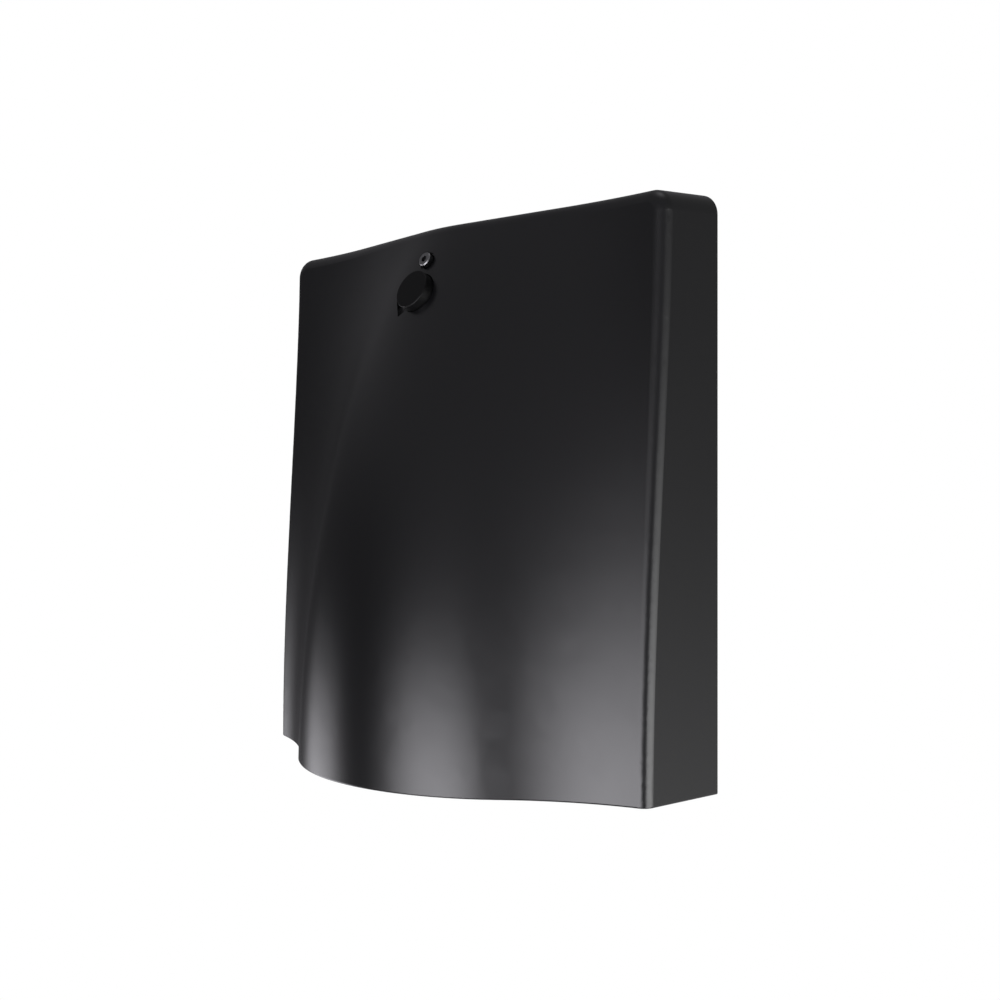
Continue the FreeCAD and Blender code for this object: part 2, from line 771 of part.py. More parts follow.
notch.Placement = FreeCAD.Placement(FreeCAD.Vector(), notch_turn)
notch_start = notch_turn.multVec(FreeCAD.Vector(-value("notch_width") / 2, 0, 0))
notch_depth, notch_height = tilted_spot(button_depth, "button_height", "-notch_sink")
place(notch, "%.6f" % notch_start.x, "%s - (%.6f)" % (notch_depth, notch_start.y),
      "%s + (%.6f)" % (notch_height, notch_start.z))
drills.append(notch)
shell = cut("cover_shell", cover_rounded, [hollow])
front_cover = cut("cover_drilled", shell, drills)
finish(front_cover, "front_cover")

# test_button: bevelled cap, guided stem with a clip groove, and a thin tip that reaches the switch.
cap_under = "(button_rise - button_cap)"
clip_top = "(-boss_depth - clip_gap)"
stem_end = "(%s - clip_thick - stem_tail)" % clip_top
button = turned("button_body", [
    ("0", "-tip_depth"),
    ("tip_radius", "-tip_depth"),
    ("tip_radius", stem_end),
    ("stem_radius", stem_end),
    ("stem_radius", "%s - clip_thick - 0.05" % clip_top),
    ("clip_groove", "%s - clip_thick - 0.05" % clip_top),
    ("clip_groove", "%s + 0.05" % clip_top),
    ("stem_radius", "%s + 0.05" % clip_top),
    ("stem_radius", cap_under),
    ("button_radius", cap_under),
    ("button_radius", "button_rise - button_bevel"),
    ("button_radius - button_bevel", "button_rise"),
    ("0", "button_rise"),
])
finish_lean(button, "test_button", button_depth, "button_height", "0")

clip = turned("clip_body", [
    ("clip_groove + 0.03", "%s - clip_thick" % clip_top),
    ("clip_radius", "%s - clip_thick" % clip_top),
    ("clip_radius", clip_top),
    ("clip_groove + 0.03", clip_top),
])
finish_lean(clip, "button_clip", button_depth, "button_height", "0")

# button_boot: a folded sleeve between the pocket floor and the cap.
boot_floor = "(-pocket_depth + boot_play)"
boot_roof = "(%s - boot_play)" % cap_under
boot_inner = "(stem_radius + boot_play + 0.1)"
boot_outer = "(%s - boot_play - 0.1)" % pocket_radius
boot = turned("boot_body", [
    (boot_inner, boot_roof + " - boot_wall"),
    (boot_inner + " + boot_wall", boot_roof + " - boot_wall"),
    (boot_outer + " - boot_wall - 0.6", boot_floor + " + boot_wall"),
    (boot_outer + " - boot_wall - 0.6", boot_floor),
    (boot_outer, boot_floor),
    (boot_outer, boot_floor + " + boot_wall"),
    (boot_outer + " - 0.6", boot_floor + " + boot_wall"),
    (boot_inner + " + 2 * boot_wall + 0.2", boot_roof + " - boot_wall"),
    (boot_inner + " + 2 * boot_wall + 0.2", boot_roof),
    (boot_inner, boot_roof),
])
finish_lean(boot, "button_boot", button_depth, "button_height", "0")

# cover_screw: socket head, smooth shank with a ring groove, thread end in the insert.
ring_top = "(-ring_depth)"
screw = turned("screw_body", [
    ("0", "-screw_reach"),
    ("shank_radius - 0.4", "-screw_reach"),
    ("shank_radius", "-screw_reach + 0.4"),
    ("shank_radius", ring_top + " - ring_thick - 0.05"),
    ("ring_groove", ring_top + " - ring_thick - 0.05"),
    ("ring_groove", ring_top + " + 0.05"),
    ("shank_radius", ring_top + " + 0.05"),
    ("shank_radius", "-seat_depth"),
    ("head_radius", "-seat_depth"),
    ("head_radius", "-seat_depth + head_thick - 0.4"),
    ("head_radius - 0.4", "-seat_depth + head_thick"),
    ("socket_radius", "-seat_depth + head_thick"),
    ("socket_radius", "-seat_depth + head_thick - socket_depth"),
    ("0", "-seat_depth + head_thick - socket_depth"),
])
finish_lean(screw, "cover_screw", screw_depth, "screw_height", "0")

ring = turned("ring_body", [
    ("ring_groove + 0.03", ring_top + " - ring_thick"),
    ("ring_radius", ring_top + " - ring_thick"),
    ("ring_radius", ring_top),
    ("ring_groove + 0.03", ring_top),
])
finish_lean(ring, "screw_ring", screw_depth, "screw_height", "0")

insert = turned("insert_body", [
    ("thread_radius", "-insert_mouth - insert_length"),
    ("insert_radius", "-insert_mouth - insert_length"),
    ("insert_radius", "-insert_mouth"),
    ("thread_radius", "-insert_mouth"),
])
finish_lean(insert, "screw_insert", screw_depth, "screw_height", "0")

# Lens stack on the floor of the cover.
seal_body = new_body("lens_seal_body")
pad(seal_body, wave_outline(seal_body, "lens_seal_outline", floor_top, "lens_inset + seal_margin",
                            "lens_rear + seal_margin"), "lens_seal")
seal_hole = wave_plate("lens_seal_hole", "(%s - 1)" % floor_top, "opening_inset - seal_margin",
                       "opening_rear - seal_margin", "lens_seal + 2")
finish(cut("lens_seal_ring", seal_body, [seal_hole]), "lens_gasket")

finish(wave_plate("lens_body", lens_level, "lens_inset", "lens_rear", "lens_thick"), "lens")

retainer = wave_plate("retainer_plate", retainer_level, "retainer_inset", "retainer_rear", "retainer_thick")
retainer_cuts = [wave_plate("retainer_hole", "(%s - 1)" % retainer_level, "retainer_inset + retainer_bar",
                            "retainer_rear + retainer_bar", "retainer_thick + 2")]
for number, (x, depth) in enumerate(post_spots):
    retainer_cuts.append(rod("retainer_bore_%d" % number, "up", x, depth, "%s - 1" % retainer_level,
                             "small_shank + small_play", "retainer_thick + 2"))
finish(cut("retainer_ring", retainer, retainer_cuts), "lens_retainer")

lens_screws = []
for number, (x, depth) in enumerate(post_spots):
    head = rod("lens_head_%d" % number, "up", x, depth, retainer_top, "small_head", "small_head_thick")
    shank = rod("lens_shank_%d" % number, "up", x, depth, "%s - small_reach" % retainer_level, "small_shank",
                "small_reach + retainer_thick + 0.1")
    lens_screws.append(join("lens_screw_%d" % number, [head, shank]))
finish(group("lens_screw_set", lens_screws), "lens_screws")


# Outline of the back plate with its lower corners cut away for the hinge knuckles.
def plate_outline(sketch, margin):
    side = "%s - %s" % (plate_half, margin)
    step = "lug_inner + lug_width - %s" % margin
    foot = "plate_foot + %s" % margin
    shoulder = "corner_notch + %s" % margin
    top = "%s - %s" % (plate_top, margin)
    bevel = "plate_corner"
    polygon(sketch, [
        ("-(%s)" % step, foot),
        (step, foot),
        (step, shoulder),
        (side, shoulder),
        (side, "%s - %s" % (top, bevel)),
        ("%s - %s" % (side, bevel), top),
        ("-(%s - %s)" % (side, bevel), top),
        ("-(%s)" % side, "%s - %s" % (top, bevel)),
        ("-(%s)" % side, shoulder),
        ("-(%s)" % step, shoulder),
    ])


# A plate drawn on the upright plane: the pad runs forwards from the given depth.
def upright_plate(name, rear, thick, margin, holes):
    body = new_body(name)
    sketch = new_sketch(body, name + "_outline", "XZ_Plane", rear)
    plate_outline(sketch, margin)
    for x, height, radius in holes:
        circle(sketch, x, height, radius)
    pad(body, sketch, thick)
    return body


wall_spots = []
for side in ("", "-"):
    for rise in ("+", "-"):
        wall_spots.append((side + "wall_hole_x", "mount_height %s wall_hole_z" % rise))
wall_holes = [(x, height, "wall_hole_radius") for x, height in wall_spots]

# back_plate with lugs, screw tower and blind holes for the small screws.
plate = upright_plate("plate_sheet", "0", "plate_thick", "0",
                      wall_holes + [("0", "mount_height", "grommet_hole")])
plate_adds = [plate]
for side, start in (("left", "-(lug_inner + lug_width)"), ("right", "lug_inner")):
    plate_adds.append(block("lug_" + side, start, "plate_thick - 0.5", "plate_foot", "lug_width",
                            "seal_room + 0.5", "hinge_height + knuckle_radius - plate_foot"))
    plate_adds.append(rod("lug_eye_" + side, "right", start, hinge_depth, "hinge_height", "knuckle_radius",
                          "lug_width"))
tower_full = tilted_rod("tower_full", screw_depth, "screw_height", "-insert_mouth - 40", "40", "tower_radius")
behind = middle_block("tower_trim", "0", "-60", "0", "60", "60 + plate_thick / 2", "cover_height")
plate_adds.append(cut("tower", tower_full, [behind]))
plate_joined = join("plate_joined", plate_adds)

strap_edge = "strap_edge"
strap_levels = [
    ("lower", "battery_foot + cell_length / 2"),
    ("upper", "battery_foot + cell_gap + cell_length * 3 / 2"),
]
strap_spots = []
for level_name, level in strap_levels:
    for side, sign in (("left", "-"), ("right", "+")):
        foot_x = "-battery_x %s (%s + strap_thick + strap_foot / 2)" % (sign, strap_edge)
        strap_spots.append((level_name + "_" + side, foot_x, level))
bracket_spots = []
for side in ("-", ""):
    bracket_spots.append(("left" if side else "right", side + "bracket_screw_x",
                          "shelf_height - bracket_screw_drop"))
plate_cuts = [
    rod("lug_bore", "right", "-(lug_inner + lug_width + 1)", hinge_depth, "hinge_height",
        "pin_radius + pin_fit",
        "2 * (lug_inner + lug_width + 1)"),
    tilted_rod("insert_bore", screw_depth, "screw_height", "-insert_mouth - insert_length - 1.5",
               "insert_length + 3", "insert_radius"),
    rod("earth_bore", "front", "0", "0.8", "earth_z", "big_shank + small_play", "plate_thick"),
]
for name, x, height in strap_spots:
    plate_cuts.append(rod("strap_bore_" + name, "front", x, "0.8", height, "small_shank + small_play",
                          "plate_thick"))
for name, x, height in bracket_spots:
    plate_cuts.append(rod("bracket_bore_" + name, "front", x, "0.8", height, "big_shank + small_play",
                          "plate_thick"))
finish(cut("plate_done", plate_joined, plate_cuts), "back_plate")

# wall_gasket behind the plate, with room for the rear lip of the grommet.
finish(upright_plate("wall_sheet", "-wall_seal", "wall_seal", "0.3",
                     wall_holes + [("0", "mount_height", "grommet_flange + 0.4")]), "wall_gasket")

# cover_gasket: a flat frame on the plate.
frame_tall = "%s - seal_foot" % seal_top
frame_slab = middle_block("frame_slab", "0", "plate_thick", "seal_foot", "2 * %s" % seal_half,
                          "seal_room - seal_play", frame_tall)
frame_hole = middle_block("frame_hole", "0", "plate_thick - 1", "seal_foot + seal_width",
                          "2 * %s - 2 * seal_width" % seal_half, "seal_room + 2",
                          "%s - 2 * seal_width" % frame_tall)
frame_corners = []
for side, x in (("left", "-%s" % seal_half), ("right", seal_half)):
    chip = doc.addObject("Part::Box", "frame_chip_" + side)
    for length in ("Length", "Width", "Height"):
        drive(chip, length, "plate_corner * 1.5")
    turn(chip, FreeCAD.Vector(0, 1, 0), "45")
    place(chip, "%s - plate_corner * 1.5 * sqrt(0.5)" % x, "plate_thick + plate_corner", seal_top)
    frame_corners.append(chip)
finish(cut("frame", frame_slab, [frame_hole] + frame_corners), "cover_gasket")

pins = []
for side, start in (("left", "-(lug_inner + pin_length)"), ("right", "lug_inner")):
    pins.append(rod("pin_" + side, "right", start, hinge_depth, "hinge_height", "pin_radius", "pin_length"))
finish(group("pin_pair", pins), "hinge_pins")

# cable_grommet: rubber ring clipped in the plate.
grommet = turned("grommet_body", [
    ("grommet_bore", "-grommet_lip"),
    ("grommet_flange", "-grommet_lip"),
    ("grommet_flange", "-0.02"),
    ("grommet_hole - grommet_play", "-0.02"),
    ("grommet_hole - grommet_play", "plate_thick + 0.02"),
    ("grommet_flange", "plate_thick + 0.02"),
    ("grommet_flange", "plate_thick + grommet_lip"),
    ("grommet_bore", "plate_thick + grommet_lip + 1"),
])
turn(grommet, FreeCAD.Vector(1, 0, 0), "90")
finish(grommet, "cable_grommet")
drive(grommet, "Placement.Base.z", "0")


def front_screw(name, x, seat, height, head, head_thick, shank, length):
    cap = rod(name + "_cap", "front", x, seat, height, head, head_thick)
    slot = middle_block(name + "_slot", x, "%s + %s - 0.7" % (seat, head_thick), "%s - 0.4" % height,
                        "(%s) * 1.3" % head, "2", "0.8")
    stem = rod(name + "_stem", "front", x, "%s - (%s)" % (seat, length), height, shank, "%s + 0.1" % length)
    return join(name, [cut(name + "_head", cap, [slot]), stem])


earth = front_screw("earth", "0", "plate_thick + 0.02", "earth_z", "big_head + 0.8", "big_head_thick",
                    "big_shank",
                    "plate_thick - 1")
finish(earth, "earth_screw")

# led_bracket: an upright leg on the plate, a shelf for the light board and cooling fins above it.
shelf_top = "(shelf_height + bracket_thick)"
leg = middle_block("leg", "0", "plate_thick", "shelf_height - bracket_drop", "2 * shelf_half",
                   "bracket_thick",
                   "bracket_drop + bracket_thick")
shelf = middle_block("shelf", "0", "plate_thick", "shelf_height", "2 * shelf_half", "shelf_depth",
                     "bracket_thick")
bracket_adds = [leg, shelf]
fin_places = ["-fin_x_outer", "-fin_x_inner", "fin_x_inner", "fin_x_outer"]
for number, x in enumerate(fin_places):
    bracket_adds.append(middle_block("fin_%d" % number, x, "plate_thick", "%s - 0.5" % shelf_top, "fin_thick",
                                     "fin_depth", "fin_height + 0.5"))
led_screw_spots = []
for side in ("-", ""):
    for edge, depth in (("rear", "led_board_rear + led_screw_inset"),
                        ("front", "led_board_rear + led_board_depth - led_screw_inset")):
        led_screw_spots.append((edge + ("_left" if side else "_right"), side + "led_screw_x", depth))
bracket_cuts = []
for name, x, height in bracket_spots:
    bracket_cuts.append(rod("leg_bore_" + name, "front", x, "plate_thick - 1", height,
                            "big_shank + small_play",
                            "bracket_thick + 2"))
for name, x, depth in led_screw_spots:
    bracket_cuts.append(rod("shelf_bore_" + name, "up", x, depth, "shelf_height - 1",
                            "small_shank + small_play",
                            "bracket_thick"))
finish(cut("bracket", join("bracket_joined", bracket_adds), bracket_cuts), "led_bracket")

bracket_screws = []
for name, x, height in bracket_spots:
    bracket_screws.append(front_screw("bracket_screw_" + name, x, "plate_thick + bracket_thick + 0.02",
                                      height,
                                      "big_head", "big_head_thick", "big_shank",
                                      "plate_thick + bracket_thick - 1"))
finish(group("bracket_screw_set", bracket_screws), "bracket_screws")

# led_board under the shelf, with the light sources and the optic plate below it.
led_board_under = "(shelf_height - board_thick)"
led_board = middle_block("led_sheet", "0", "led_board_rear", led_board_under, "2 * led_board_half",
                         "led_board_depth", "board_thick")
led_board_cuts = []
for name, x, depth in led_screw_spots:
    led_board_cuts.append(rod("led_board_bore_" + name, "up", x, depth, led_board_under + " - 1",
                              "small_shank + small_play", "board_thick + 2"))
finish(cut("led_board_drilled", led_board, led_board_cuts), "led_board")

led_screws = []
for name, x, depth in led_screw_spots:
    head = rod("led_head_" + name, "up", x, depth, led_board_under + " - small_head_thick", "small_head",
               "small_head_thick")
    shank = rod("led_shank_" + name, "up", x, depth, led_board_under + " - 0.1", "small_shank",
                "board_thick + 0.1 + bracket_thick / 2")
    led_screws.append(join("led_screw_" + name, [head, shank]))
finish(group("led_screw_set", led_screws), "led_screws")

led_middle = "(led_board_rear + led_board_depth / 2)"
led_spots = []
for x in ("-led_x_outer", "-led_x_inner", "led_x_inner", "led_x_outer"):
    for row in ("-", "+"):
        led_spots.append((x, "%s %s led_row" % (led_middle, row)))
lights = []
bells = []
optic_top = "(%s - optic_drop)" % led_board_under
for number, (x, depth) in enumerate(led_spots):
    lights.append(middle_block("light_%d" % number, x, "%s - led_side / 2" % depth,
                               led_board_under + " - led_thick",
                               "led_side", "led_side", "led_thick"))
    bell = doc.addObject("Part::Cone", "bell_%d" % number)
    drive(bell, "Radius1", "optic_bell")
    drive(bell, "Radius2", "optic_mouth")
    drive(bell, "Height", "optic_thick + optic_fall - 1")
    place(bell, x, depth, optic_top + " - optic_thick")
    bells.append(bell)
finish(group("light_set", lights), "leds")

optic_sheet = middle_block("optic_sheet", "0", "%s - optic_depth / 2" % led_middle,
                           optic_top + " - optic_thick",
                           "2 * optic_half", "optic_depth", "optic_thick")
feet = []
for side in ("-", ""):
    feet.append(rod("optic_foot_" + ("left" if side else "right"), "up",
                    side + "(optic_half - 2 * optic_foot)",
                    led_middle, optic_top + " - 0.5", "optic_foot", "optic_drop + 0.48"))
finish(join("optic", [optic_sheet] + bells + feet), "optic_plate")

# driver_board on standoffs, with an insulating sheet on the plate behind it.
board_rear = "(plate_thick + standoff)"
board_front = "(%s + board_thick)" % board_rear
board_spots = []
for x_name, x in (("left", "board_left + board_inset"), ("right", "board_left + board_width - board_inset")):
    for z_name, height in (("low", "board_foot + board_inset"),
                           ("high", "board_foot + board_tall - board_inset")):
        board_spots.append((x_name + "_" + z_name, x, height))
board = block("board_sheet", "board_left", board_rear, "board_foot", "board_width", "board_thick",
              "board_tall")
board_cuts = []
insulator = block("insulator", "board_left", "plate_thick", "board_foot", "board_width", "sheet_thick",
                  "board_tall")
insulator_cuts = []
standoffs = []
board_screws = []
for name, x, height in board_spots:
    board_cuts.append(rod("board_bore_" + name, "front", x, board_rear + " - 1", height,
                          "small_shank + small_play",
                          "board_thick + 2"))
    insulator_cuts.append(rod("sheet_bore_" + name, "front", x, "plate_thick - 1", height,
                              "standoff_radius + 0.2",
                              "sheet_thick + 2"))
    pillar = rod("pillar_" + name, "front", x, "plate_thick", height, "standoff_radius", "standoff")
    pillar_bore = rod("pillar_bore_" + name, "front", x, board_rear + " - small_reach - 1", height,
                      "small_shank + small_play", "small_reach + 2")
    standoffs.append(cut("standoff_" + name, pillar, [pillar_bore]))
    board_screws.append(front_screw("board_screw_" + name, x, board_front + " + 0.02", height, "small_head",
                                    "small_head_thick", "small_shank", "board_thick + small_reach"))
finish(cut("board_drilled", board, board_cuts), "driver_board")
finish(cut("insulator_drilled", insulator, insulator_cuts), "insulating_sheet")
finish(group("standoff_set", standoffs), "board_standoffs")
finish(group("board_screw_set", board_screws), "board_screws")


def board_block(name, x, height, wide, tall, deep):
    return middle_block(name, x, board_front, "%s - (%s) / 2" % (height, tall), wide, deep, tall)


# transformer: a wound bobbin between the two legs of its core.
core = board_block("core", "transformer_x", "transformer_z", "transformer_wide", "transformer_tall",
                   "transformer_deep")
window = middle_block("core_window", "transformer_x", board_front + " - 1",
                      "transformer_z - transformer_tall / 2 + core_wall", "transformer_wide - 2 * core_wall",
                      "transformer_deep + 2", "transformer_tall - 2 * core_wall")
winding = middle_block("winding", "transformer_x", board_front + " + 1",
                       "transformer_z - transformer_tall / 2 + core_wall", "transformer_wide - 2 * core_wall",
                       "transformer_deep - 2", "transformer_tall - 2 * core_wall")
finish(join("transformer_set", [cut("core_open", core, [window]), winding]), "transformer")

cans = []
for number in range(2):
    height = "capacitor_z + capacitor_pitch * %d" % number
    cans.append(rod("can_%d" % number, "front", "capacitor_x", board_front, height, "capacitor_radius",
                    "capacitor_deep"))
finish(group("can_set", cans), "capacitors")

finish(cut("relay_case", board_block("relay_box", "relay_x", "relay_z", "relay_wide", "relay_tall",
                                     "relay_deep"),
           [middle_block("relay_step", "relay_x", board_front + " + relay_deep - 1",
                         "relay_z + relay_tall / 2 - 2", "relay_wide + 2", "2", "4")]), "relay")

choke_ring = rod("choke_outer", "front", "choke_x", board_front, "choke_z", "choke_radius", "choke_deep")
choke_hole = rod("choke_inner", "front", "choke_x", board_front + " - 1", "choke_z", "choke_bore",
                 "choke_deep + 2")
finish(cut("choke_coil", choke_ring, [choke_hole]), "choke")

terminal_box = board_block("terminal_box", "terminal_x", "terminal_z", "terminal_wide", "terminal_tall",
                           "terminal_deep")
terminal_cuts = []
for number in range(3):
    x = "terminal_x + terminal_wide * %d / 3" % (number - 1)
    terminal_cuts.append(rod("terminal_well_%d" % number, "front", x, board_front + " + terminal_deep - 4",
                             "terminal_z", "terminal_wide / 9", "5"))
finish(cut("terminal_drilled", terminal_box, terminal_cuts), "terminal_block")

for name in ("led_socket", "battery_socket", "switch_socket"):
    housing = board_block(name + "_box", name + "_x", name + "_z", "socket_wide", "socket_tall",
                          "socket_deep")
    mouth = board_block(name + "_mouth", name + "_x", name + "_z", "socket_wide - 4", "socket_tall - 3",
                        "socket_deep + 1")
    lifted = cut(name + "_open", housing, [mouth])
    floor_box = board_block(name + "_floor", name + "_x", name + "_z", "socket_wide - 3", "socket_tall - 2",
                            "3")
    finish(join(name + "_set", [lifted, floor_box]), name)

# battery_holder: a cradle with two troughs, four cells and two straps over them.
cell_depth = "(plate_thick + holder_floor + cell_radius + cell_play)"
cell_top = "(battery_foot + 2 * cell_length + cell_gap)"
holder_half = "(cell_pitch / 2 + cell_radius + holder_margin)"
cradle = middle_block("cradle", "-battery_x", "plate_thick", "battery_foot - holder_margin",
                      "2 * %s" % holder_half,
                      "holder_floor + holder_rim", "2 * cell_length + cell_gap + 2 * holder_margin")
troughs = []
cells = []
for side in ("-", "+"):
    x = "-battery_x %s cell_pitch / 2" % side
    name = "left" if side == "-" else "right"
    troughs.append(rod("trough_" + name, "up", x, cell_depth, "battery_foot - cell_play",
                       "cell_radius + cell_play",
                       "2 * cell_length + cell_gap + 2 * cell_play"))
    for level_name, foot in (("lower", "battery_foot"), ("upper", "battery_foot + cell_length + cell_gap")):
        can = rod("cell_can_%s_%s" % (name, level_name), "up", x, cell_depth, foot, "cell_radius",
                  "cell_length - cell_gap")
        tip = rod("cell_tip_%s_%s" % (name, level_name), "up", x, cell_depth,
                  "%s + cell_length - cell_gap - 0.1" % foot,
                  "cell_radius / 3", "cell_gap + 0.1")
        cells.append(join("cell_%s_%s" % (name, level_name), [can, tip]))
finish(cut("cradle_cut", cradle, troughs), "battery_holder")
finish(group("cell_set", cells), "battery_cells")

straps = []
strap_roof = "(holder_floor + 2 * cell_radius + 2 * cell_play)"
for level_name, level in strap_levels:
    foot = "%s - strap_width / 2" % level
    hoop = middle_block("hoop_" + level_name, "-battery_x", "plate_thick", foot,
                        "2 * %s + 2 * strap_thick" % strap_edge, "%s + strap_thick" % strap_roof,
                        "strap_width")
    feet_bar = middle_block("feet_" + level_name, "-battery_x", "plate_thick", foot,
                            "2 * %s + 2 * strap_thick + 2 * strap_foot" % strap_edge, "strap_thick",
                            "strap_width")
    inside = middle_block("inside_" + level_name, "-battery_x", "plate_thick - 1", foot + " - 1",
                          "2 * %s" % strap_edge, "%s + 1" % strap_roof, "strap_width + 2")
    holes = [inside]
    for name, x, height in strap_spots:
        if name.startswith(level_name):
            holes.append(rod("strap_hole_" + name, "front", x, "plate_thick - 1", height,
                             "small_shank + small_play",
                             "strap_thick + 2"))
    straps.append(cut("strap_" + level_name, join("strap_bar_" + level_name, [hoop, feet_bar]), holes))
finish(group("strap_set", straps), "battery_straps")

strap_screws = []
for name, x, height in strap_spots:
    strap_screws.append(front_screw("strap_screw_" + name, x, "plate_thick + strap_thick + 0.02", height,
                                    "small_head",
                                    "small_head_thick", "small_shank", "plate_thick + strap_thick - 1"))
finish(group("strap_screw_set", strap_screws), "strap_screws")

# Test switch: a tilted post on the plate carries a small board with the switch behind the button's tip.
plunger_top = "(-tip_depth - button_travel - tip_gap)"
switch_top = "(%s - plunger_length)" % plunger_top
switch_foot = "(%s - switch_thick)" % switch_top
switch_board_foot = "(%s - board_thick)" % switch_foot


def tilted_block(name, out, wide, side, tall):
    box = doc.addObject("Part::Box", name)
    drive(box, "Length", wide)
    drive(box, "Width", side)
    drive(box, "Height", tall)
    lean(box, button_depth, "button_height", out)
    spot_depth, spot_height = tilted_spot(button_depth, "button_height", out)
    place(box, "-(%s) / 2" % wide, "%s + (%s) / 2 * sin(%s)" % (spot_depth, side, tilt),
          "%s - (%s) / 2 * cos(%s)" % (spot_height, side, tilt))
    return box


post = tilted_block("switch_post", "%s - 40" % switch_board_foot, "switch_post_x", "switch_post_side", "40")
post_trim = middle_block("switch_trim", "0", "-80", "0", "60", "80 + plate_thick", "cover_height")
finish(cut("switch_post_cut", post, [post_trim]), "switch_bracket")
switch_sheet = tilted_block("switch_sheet", switch_board_foot, "switch_board_x", "switch_board_side",
                            "board_thick")
finish(group("switch_sheet_set", [switch_sheet]), "switch_board")
case = tilted_block("switch_case", switch_foot, "switch_side", "switch_side", "switch_thick")
plunger = tilted_rod("switch_plunger", button_depth, "button_height", switch_top + " - 0.1",
                     "plunger_length + 0.1", "plunger_radius")
finish(join("switch_set", [case, plunger]), "test_switch")


# Leads: straight runs joined by tangent quarter bends.
def lead_path(spots, bend):
    points = [FreeCAD.Vector(x, -depth, height) for x, depth, height in spots]
    edges = []
    start = points[0]
    for index in range(1, len(points) - 1):
        corner = points[index]
        back = (points[index - 1] - corner).normalize()
        ahead = (points[index + 1] - corner).normalize()
        first = corner + back * bend
        last = corner + ahead * bend
        middle = corner + (back + ahead) * bend * (1 - math.sqrt(0.5))
        edges.append(Part.makeLine(start, first))
        edges.append(Part.Arc(first, middle, last).toShape())
        start = last
    edges.append(Part.makeLine(start, points[-1]))
    return Part.Wire(edges)


def lead(name, spots):
    path = lead_path(spots, value("lead_bend"))
    start = path.Edges[0].Vertexes[0].Point
    heading = path.Edges[0].tangentAt(path.Edges[0].FirstParameter)
    ring_edge = Part.Wire([Part.makeCircle(value("lead_radius"), start, heading)])
    feature = doc.addObject("Part::Feature", name)
    feature.Shape = path.makePipeShell([ring_edge], True, True)
    return feature


socket_middle = value(board_front + " + socket_deep / 2")
pitch = value("socket_wide / 4")
half_socket = value("socket_tall / 2")
touch = value("lead_touch")

run_height = value("battery_foot - holder_margin - lead_bend - lead_radius")
under = value("battery_socket_z") - half_socket
leads = []
for name, side, offset, lift in (("near", 1, -1, -1), ("far", -1, 1, 1)):
    cell_x = value("-battery_x + cell_pitch / 2 * %d" % side)
    socket_x = value("battery_socket_x") + offset * pitch
    depth = socket_middle + lift * value("lead_spread")
    leads.append(lead("battery_lead_" + name, [
        (cell_x, depth, value("battery_foot") - touch),
        (cell_x, depth, run_height),
        (socket_x, depth, run_height),
        (socket_x, depth, under - touch),
    ]))
finish(group("battery_lead_set", leads), "battery_leads")

under = value("led_socket_z") - half_socket
edge_level = value(led_board_under + " + lead_radius / 2")
leads = []
for name, offset in (("near", -1), ("far", 1)):
    socket_x = value("led_socket_x") + offset * pitch
    depth = socket_middle + offset * value("lead_spread")
    leads.append(lead("led_lead_" + name, [
        (socket_x, depth, under - touch),
        (socket_x, depth, edge_level),
        (value("led_board_half") + touch, depth, edge_level),
    ]))
finish(group("led_lead_set", leads), "led_leads")

roof = value("switch_socket_z") + half_socket
board_middle = switch_board_foot + " + board_thick / 2"
leads = []
for name, offset, slide in (("near", -1, "-lead_slide"), ("far", 1, "lead_slide * 2")):
    socket_x = value("switch_socket_x") + offset * pitch
    spot_depth, spot_height = tilted_spot(button_depth, "button_height", board_middle)
    depth = value("%s - %s * sin(%s)" % (spot_depth, slide, tilt))
    height = value("%s + %s * cos(%s)" % (spot_height, slide, tilt))
    leads.append(lead("switch_lead_" + name, [
        (socket_x, depth, roof + touch),
        (socket_x, depth, height),
        (value("switch_board_x") / 2 + touch, depth, height),
    ]))
finish(group("switch_lead_set", leads), "switch_leads")

doc.recompute()
for thing in doc.Objects:
    if "Invalid" in thing.State or "Error" in thing.State:
        raise RuntimeError("%s is in state %s" % (thing.Label, thing.State))
os.makedirs("parts", exist_ok=True)
for thing in nodes:
    if thing.Shape.isNull() or not thing.Shape.isValid() or not thing.Shape.Solids:
        raise RuntimeError("%s has no sound shape" % thing.Label)
    thing.Shape.exportStep("parts/%s.step" % thing.Label)
    print(thing.Label, len(thing.Shape.Solids), round(thing.Shape.Volume, 1))
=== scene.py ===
import json
import math
import bpy
import bmesh
from mathutils import Matrix, Vector


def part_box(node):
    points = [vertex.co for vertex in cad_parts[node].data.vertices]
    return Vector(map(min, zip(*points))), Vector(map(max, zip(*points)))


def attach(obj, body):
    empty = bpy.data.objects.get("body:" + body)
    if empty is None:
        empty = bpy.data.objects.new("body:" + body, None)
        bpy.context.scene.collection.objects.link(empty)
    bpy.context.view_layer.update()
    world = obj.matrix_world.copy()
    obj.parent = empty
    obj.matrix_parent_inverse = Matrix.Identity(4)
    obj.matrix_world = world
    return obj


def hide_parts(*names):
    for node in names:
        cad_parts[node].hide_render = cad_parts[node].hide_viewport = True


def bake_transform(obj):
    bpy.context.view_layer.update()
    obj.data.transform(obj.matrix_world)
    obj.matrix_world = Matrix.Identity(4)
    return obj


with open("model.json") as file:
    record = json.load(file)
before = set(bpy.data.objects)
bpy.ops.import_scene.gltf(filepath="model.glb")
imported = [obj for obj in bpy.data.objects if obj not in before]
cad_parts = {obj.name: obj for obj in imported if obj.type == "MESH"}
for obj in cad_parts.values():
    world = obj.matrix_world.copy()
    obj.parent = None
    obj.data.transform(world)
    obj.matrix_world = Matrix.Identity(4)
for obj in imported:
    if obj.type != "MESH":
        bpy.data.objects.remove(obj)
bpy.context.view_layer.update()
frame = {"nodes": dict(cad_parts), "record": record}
nodes = frame["nodes"]
scene = bpy.context.scene
scene.view_settings.view_transform = "Standard"
